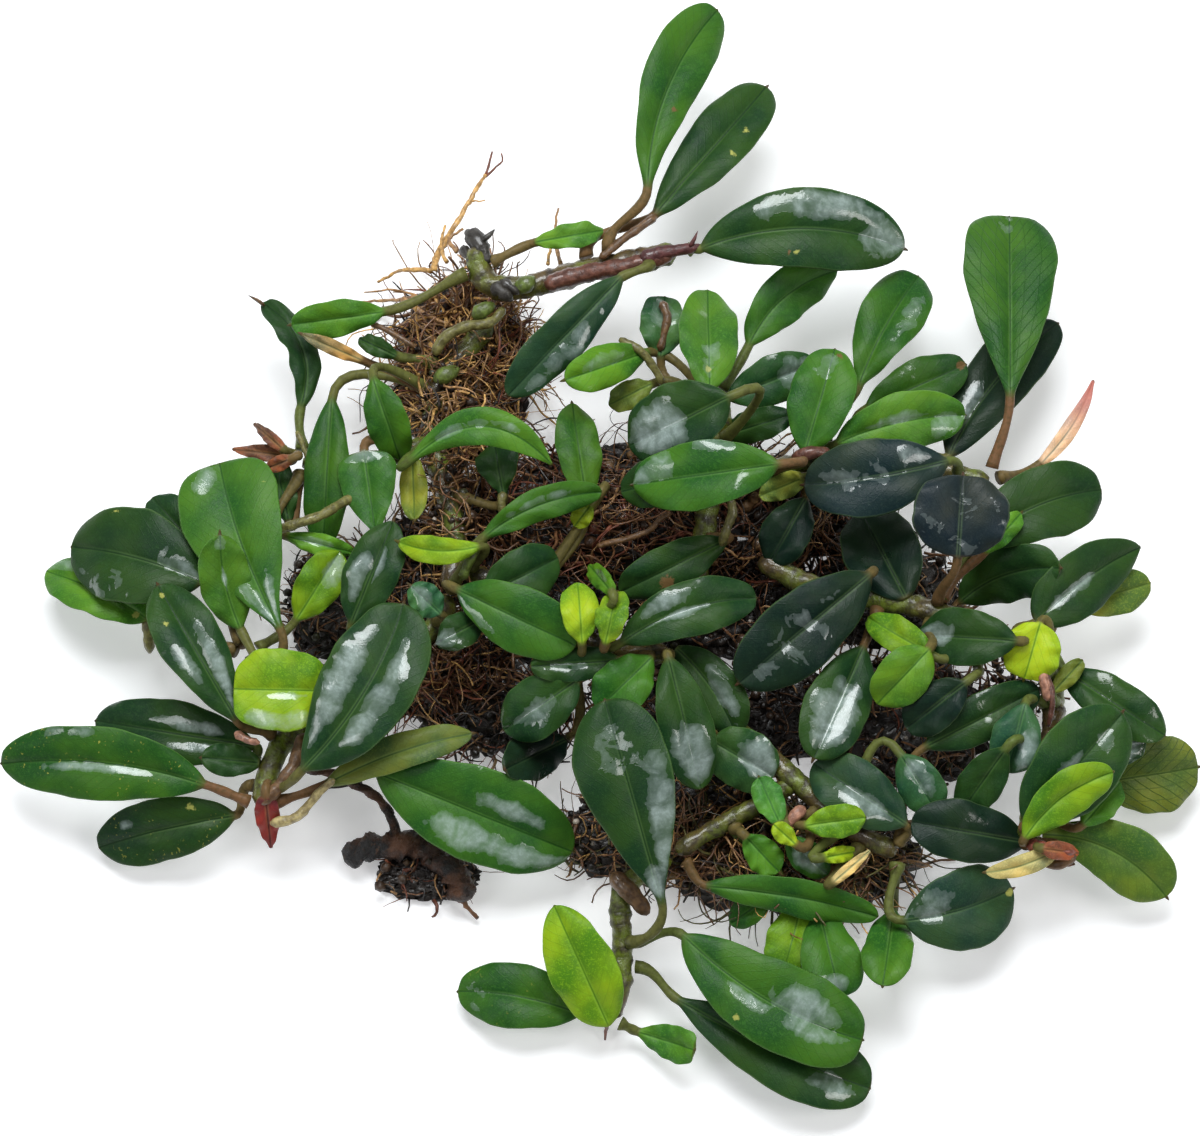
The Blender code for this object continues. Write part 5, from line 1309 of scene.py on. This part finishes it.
class Nodes:
    """A material's nodes, made in few words, from numbers, colours and other nodes' outputs."""

    def __init__(self, name):
        self.material = bpy.data.materials.new(name)
        self.material.use_nodes = True
        self.tree = self.material.node_tree
        self.shader = self.tree.nodes["Principled BSDF"]

    def put(self, socket, value):
        if isinstance(value, bpy.types.NodeSocket):
            self.tree.links.new(value, socket)
        else:
            socket.default_value = value

    def add(self, kind, inputs, **settings):
        node = self.tree.nodes.new(kind)
        for key, value in settings.items():
            setattr(node, key, value)
        for socket, value in inputs.items():
            self.put(node.inputs[socket], value)
        return node

    def attribute(self, name, output="Fac"):
        return self.add("ShaderNodeAttribute", {}, attribute_name=name).outputs[output]

    def math(self, operation, a, b=0.0):
        return self.add("ShaderNodeMath", {0: a, 1: b}, operation=operation).outputs[0]

    def times(self, a, b):
        return self.math("MULTIPLY", a, b)

    def plus(self, a, b):
        return self.math("ADD", a, b)

    def ramp(self, value, low, high, to_low=0.0, to_high=1.0):
        inputs = {"Value": value, "From Min": low, "From Max": high, "To Min": to_low,
                  "To Max": to_high}
        return self.add("ShaderNodeMapRange", inputs, interpolation_type="SMOOTHSTEP").outputs[0]

    def mix(self, part, a, b, blend="MIX"):
        node = self.add("ShaderNodeMix", {0: part, 6: a, 7: b}, data_type="RGBA", blend_type=blend)
        return node.outputs[2]

    def tinted(self, tone, red, green, blue):
        return self.mix(1.0, tone, (red, green, blue, 1), "MULTIPLY")

    def place(self):
        return self.add("ShaderNodeTexCoord", {}).outputs["Object"]

    def noise(self, place, scale, detail=2.0, roughness=0.5, distortion=0.0):
        inputs = {"Vector": place, "Scale": scale, "Detail": detail, "Roughness": roughness,
                  "Distortion": distortion}
        return self.add("ShaderNodeTexNoise", inputs).outputs["Fac"]

    def stretch(self, place, scale):
        return self.add("ShaderNodeMapping", {"Vector": place, "Scale": scale}).outputs[0]

    def bump(self, height, distance, normal=None, strength=1.0):
        inputs = {"Height": height, "Strength": strength, "Distance": distance}
        if normal is not None:
            inputs["Normal"] = normal
        return self.add("ShaderNodeBump", inputs).outputs[0]

    def finish(self, **sockets):
        for name, value in sockets.items():
            self.put(self.shader.inputs[name.replace("_", " ")], value)
        return self.material


def leaf_material():
    m = Nodes("leaf")
    flat = m.attribute("flat", "Vector")
    across = m.math("ABSOLUTE", m.attribute("across"))
    along = m.attribute("along")
    under = m.attribute("under")
    tone = m.attribute("tone", "Color")
    parts = m.add("ShaderNodeSeparateXYZ", {0: flat}).outputs
    aside = m.math("ABSOLUTE", parts[0])
    on_blade = m.ramp(along, -0.05, 0.05)

    broad = m.noise(flat, 0.16, 2.0)
    fine = m.noise(flat, 1.9, 2.0, 0.6)
    dots = m.noise(flat, 5.5, 0.0)
    colour = m.mix(m.ramp(broad, 0.3, 0.7), m.tinted(tone, 0.5, 0.66, 0.8),
                   m.tinted(tone, 1.85, 1.3, 0.8))
    lighter = m.tinted(tone, 1.7, 1.5, 1.3)
    colour = m.mix(m.ramp(fine, 0.5, 0.75, 0.0, 0.4), colour, lighter)
    colour = m.mix(m.ramp(dots, 0.55, 0.75, 0.0, 0.35), colour, lighter)

    # Side veins leave the midrib at a slant and run up toward the tip.
    slant = m.times(m.math("SUBTRACT", parts[1], m.times(aside, 1.25)), 0.62)
    bent = m.plus(slant, m.times(broad, 1.2))
    comb = m.math("PINGPONG", bent, 0.5)
    vein = m.ramp(comb, 0.0, 0.09, 1.0, 0.0)
    long_comb = m.math("PINGPONG", m.times(across, 3.1), 0.5)
    long_vein = m.ramp(long_comb, 0.0, 0.06, 0.6, 0.0)
    veins = m.math("MAXIMUM", vein, long_vein)
    vein_strength = m.times(m.attribute("veins"), on_blade)
    darker = m.tinted(tone, 0.45, 0.55, 0.5)
    colour = m.mix(m.times(veins, vein_strength), colour, darker)

    # The midrib's groove is darkened as painted shade, and its bank is paled as a painted
    # highlight that is strongest near the base; the margin is pale.
    pale = m.mix(0.45, m.tinted(tone, 2.4, 2.0, 1.8), (0.16, 0.26, 0.08, 1))
    fade = m.ramp(along, 0.25, 0.95, 1.0, 0.15)
    bank = m.times(m.ramp(aside, 0.1, 0.4, 1.0, 0.0), m.times(fade, 0.5))
    colour = m.mix(m.times(bank, on_blade), colour, pale)
    groove = m.times(m.ramp(aside, 0.05, 0.16, 0.8, 0.0), on_blade)
    colour = m.mix(groove, colour, darker)
    edge = m.times(m.ramp(across, 0.945, 1.0), on_blade)
    colour = m.mix(m.times(edge, 0.6), colour, pale)

    # The underside is paler and matt.
    back = m.mix(0.5, m.tinted(tone, 1.5, 1.4, 1.4), (0.07, 0.13, 0.04, 1))
    colour = m.mix(under, colour, back)

    # Yellow speckles, and damaged places that go from yellow to brown.
    speck = m.ramp(m.noise(flat, 2.4, 1.0), 0.66, 0.74)
    clumps = m.ramp(m.noise(flat, 0.35, 2.0), 0.45, 0.65)
    speck = m.times(m.times(speck, clumps), m.attribute("spots"))
    colour = m.mix(speck, colour, (0.42, 0.40, 0.07, 1))
    ragged = m.noise(flat, 1.9, 2.0, 0.75)
    yellow = m.ramp(m.plus(m.attribute("yellow"), ragged), 1.02, 1.3)
    colour = m.mix(m.times(yellow, 0.8), colour, (0.42, 0.42, 0.10, 1))
    brown = m.ramp(m.plus(m.attribute("brown"), ragged), 1.0, 1.25)
    colour = m.mix(m.times(brown, 0.85), colour, (0.15, 0.08, 0.03, 1))
    flushed = m.times(m.attribute("blush"), m.ramp(along, 0.25, 0.95))
    colour = m.mix(flushed, colour, (0.52, 0.15, 0.12, 1))
    burnt = m.ramp(along, 0.985, 1.01)
    colour = m.mix(m.times(burnt, 0.8), colour, (0.075, 0.035, 0.015, 1))

    # Stalks run from green to brown.
    stalk_tone = m.mix(m.attribute("stalk"), (0.10, 0.145, 0.03, 1), (0.17, 0.085, 0.038, 1))
    stalk_tone = m.mix(m.ramp(fine, 0.4, 0.7, 0.0, 0.5), stalk_tone, (0.05, 0.045, 0.015, 1))
    colour = m.mix(on_blade, stalk_tone, colour)

    # Films of water, with ragged edges, lie on parts of each blade and give it a glossy coat. On
    # the sheen places, and faintly at the films' edges, a pale colour is mixed into the base
    # colour as a painted reflection of light on the water.
    combed = m.noise(m.stretch(flat, (0.8, 1.0, 1.0)), 0.42, 3.0, 0.55, 0.5)
    large = m.noise(flat, 0.14, 1.0, 0.5, 0.5)
    spread = m.plus(m.attribute("sheen"), m.ramp(combed, 0.25, 0.75, -0.34, 0.34))
    sheen = m.ramp(spread, 0.40, 1.25)
    wetted = m.ramp(spread, 0.38, 0.42)
    level = m.plus(m.times(m.attribute("wet"), 0.42), m.ramp(combed, 0.3, 0.7, -0.06, 0.06))
    loose = m.ramp(m.math("SUBTRACT", level, large), -0.13, -0.06)
    film = m.math("MAXIMUM", wetted, loose)
    film = m.times(film, m.ramp(under, 0.0, 1.0, on_blade, 0.0))
    # A painted reflection: the pale colour that the sheen places and the films' edges get.
    painted_reflection = m.times(sheen, m.ramp(fine, 0.35, 0.65, 0.36, 0.5))
    painted_reflection = m.plus(painted_reflection, m.times(wetted, 0.09))
    colour = m.mix(m.times(painted_reflection, on_blade), colour, (0.44, 0.53, 0.51, 1))
    rough = m.ramp(film, 0.0, 1.0, 0.42, 0.24)
    rough = m.plus(rough, m.ramp(fine, 0.3, 0.8, -0.03, 0.08))

    height = m.times(veins, m.times(vein_strength, -0.6))
    height = m.plus(height, m.times(fine, 0.5))
    height = m.plus(height, m.times(dots, 0.25))
    skin = m.bump(height, 0.07 * MM, strength=m.ramp(film, 0.0, 1.0, 1.0, 0.35))
    water = m.bump(film, 0.04 * MM, skin)
    return m.finish(Base_Color=colour, Roughness=rough, Coat_Weight=film, Coat_Roughness=0.11,
                    Coat_IOR=1.5, Normal=skin, Coat_Normal=water, IOR=1.42,
                    Specular_IOR_Level=0.22)


def rhizome_material():
    m = Nodes("rhizome")
    place = m.place()
    scar = m.attribute("scar")
    broad = m.noise(place, 160.0, 3.0)
    fine = m.noise(place, 900.0, 4.0, 0.65)
    colour = m.mix(m.ramp(broad, 0.38, 0.62), (0.13, 0.17, 0.02, 1), (0.11, 0.07, 0.022, 1))
    colour = m.mix(m.ramp(fine, 0.42, 0.68, 0.0, 0.85), colour, (0.03, 0.02, 0.009, 1))
    worn = m.times(scar, m.ramp(fine, 0.3, 0.6, 0.5, 1.0))
    colour = m.mix(worn, colour, (0.022, 0.013, 0.008, 1))
    height = m.math("SUBTRACT", m.times(fine, 0.8), m.times(scar, 0.5))
    return m.finish(Base_Color=colour, Roughness=m.ramp(fine, 0.3, 0.7, 0.22, 0.5),
                    Coat_Weight=m.ramp(broad, 0.4, 0.6, 0.0, 0.6), Coat_Roughness=0.06,
                    Normal=m.bump(height, 0.3 * MM))


def dead_material():
    m = Nodes("dead rhizome")
    place = m.place()
    broad = m.noise(place, 140.0, 4.0, 0.6)
    fine = m.noise(place, 1100.0, 5.0, 0.7)
    colour = m.mix(m.ramp(broad, 0.45, 0.62), (0.010, 0.009, 0.009, 1), (0.11, 0.045, 0.02, 1))
    colour = m.mix(m.ramp(fine, 0.55, 0.75, 0.0, 0.6), colour, (0.20, 0.09, 0.04, 1))
    return m.finish(Base_Color=colour, Roughness=m.ramp(fine, 0.3, 0.7, 0.25, 0.6),
                    Normal=m.bump(m.plus(broad, fine), 0.6 * MM))


def root_material():
    m = Nodes("root")
    place = m.place()
    fine = m.noise(place, 1300.0, 3.0, 0.6)
    broad = m.noise(place, 220.0, 2.0)
    tone = m.attribute("tone", "Color")
    colour = m.mix(m.ramp(fine, 0.35, 0.7), m.tinted(tone, 0.55, 0.5, 0.45),
                   m.tinted(tone, 1.25, 1.2, 1.1))
    return m.finish(Base_Color=colour, Roughness=m.ramp(fine, 0.3, 0.7, 0.35, 0.6),
                    Coat_Weight=m.ramp(broad, 0.45, 0.6, 0.0, 0.5), Coat_Roughness=0.1,
                    Normal=m.bump(fine, 0.2 * MM))


def floor_material():
    m = Nodes("pale floor")
    place = m.place()
    colour = m.mix(m.noise(place, 6.0), (0.84, 0.84, 0.85, 1), (0.87, 0.87, 0.88, 1))
    return m.finish(Base_Color=colour, Roughness=0.9, Emission_Color=colour,
                    Emission_Strength=0.38)


def make_clump():
    rng = np.random.default_rng(7)
    green = leaf_material()
    stem = rhizome_material()
    dead = dead_material()
    root = root_material()
    fine_runs = []
    for name, (radius, run, shoots) in RHIZOMES.items():
        for part_radius, part_run in ((radius, run), *shoots):
            fine_runs.append((np.array(smooth_run(part_run, 0.4)), part_radius))
        rhizome_piece(name, dead if name == "dead_rhizome" else stem, rng)
    for name in ROOT_MASSES:
        root_mat(name, root, rng)
    loose_roots(root, rng)
    tangles(root, rng)
    stems(root, rng)
    leaves, added = place_leaves(fine_runs)
    for number, leaf in enumerate(leaves + added):
        thing = leaf_object(leaf, number, green)
        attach(thing, "root")
        if leaf.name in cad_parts:
            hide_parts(leaf.name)


# The camera looks down on the clump from a little in front, from far enough to keep it flat.
CAMERA_AWAY = 1.5
SEEN_WIDTH = 0.150  # m across the picture at the clump
SENSOR = 36.0
AIM = (600, 568, 10)
FARTHEST_SEEN = 10  # m

# Soft boxes that face the clump: name, azimuth from 0 in front to 180 behind, elevation, distance
# and size in m, power and colour.
LIGHTS = (
    ("key", 185, 62, 0.75, (0.5, 0.36), 6.0, (0.95, 0.98, 1.0)),
    ("side", 75, 50, 0.9, (0.25, 0.4), 1.6, (1.0, 0.98, 0.95)),
    ("other side", 285, 45, 0.9, (0.25, 0.4), 1.3, (0.97, 0.98, 1.0)),
)
SKY_COLOUR = (0.95, 0.97, 1.0, 1)
SKY_STRENGTH = 0.24
FLOOR_HALF = 3.0  # m
FLOOR_DROP = 0.15  # mm under the clump, so that the two don't lie in one plane


def make_camera():
    data = bpy.data.cameras.new("camera")
    data.sensor_width = SENSOR
    data.lens = SENSOR * CAMERA_AWAY / SEEN_WIDTH
    data.clip_end = FARTHEST_SEEN
    camera = bpy.data.objects.new("camera", data)
    bpy.context.scene.collection.objects.link(camera)
    matrix = Matrix([Vector(axis) for axis in (RIGHT, UP, NEAR)]).transposed().to_4x4()
    matrix.translation = Vector(spot(AIM) * MM + NEAR * CAMERA_AWAY)
    camera.matrix_world = matrix
    bpy.context.scene.camera = camera


def soft_light(name, azimuth, elevation, away, size, power, colour):
    a = math.radians(azimuth)
    e = math.radians(elevation)
    back = Vector((math.sin(a) * math.cos(e), -math.cos(a) * math.cos(e), math.sin(e)))
    data = bpy.data.lights.new(name, "AREA")
    data.shape = "RECTANGLE"
    data.size, data.size_y = size
    data.energy = power
    data.color = colour
    light = bpy.data.objects.new(name, data)
    light.location = back * away
    light.rotation_mode = "QUATERNION"
    light.rotation_quaternion = back.to_track_quat("Z", "Y")
    bpy.context.scene.collection.objects.link(light)


def make_studio():
    world = bpy.data.worlds.new("studio")
    world.use_nodes = True
    sky = world.node_tree.nodes["Background"].inputs
    sky["Color"].default_value = SKY_COLOUR
    sky["Strength"].default_value = SKY_STRENGTH
    bpy.context.scene.world = world
    for light in LIGHTS:
        soft_light(*light)
    points = [(x * FLOOR_HALF / MM, y * FLOOR_HALF / MM, -FLOOR_DROP)
              for x, y in ((-1, -1), (1, -1), (1, 1), (-1, 1))]
    floor = new_object("floor", points, [(0, 1, 2, 3)], floor_material())
    bpy.context.scene.view_settings.view_transform = "Standard"


make_clump()
make_camera()
make_studio()
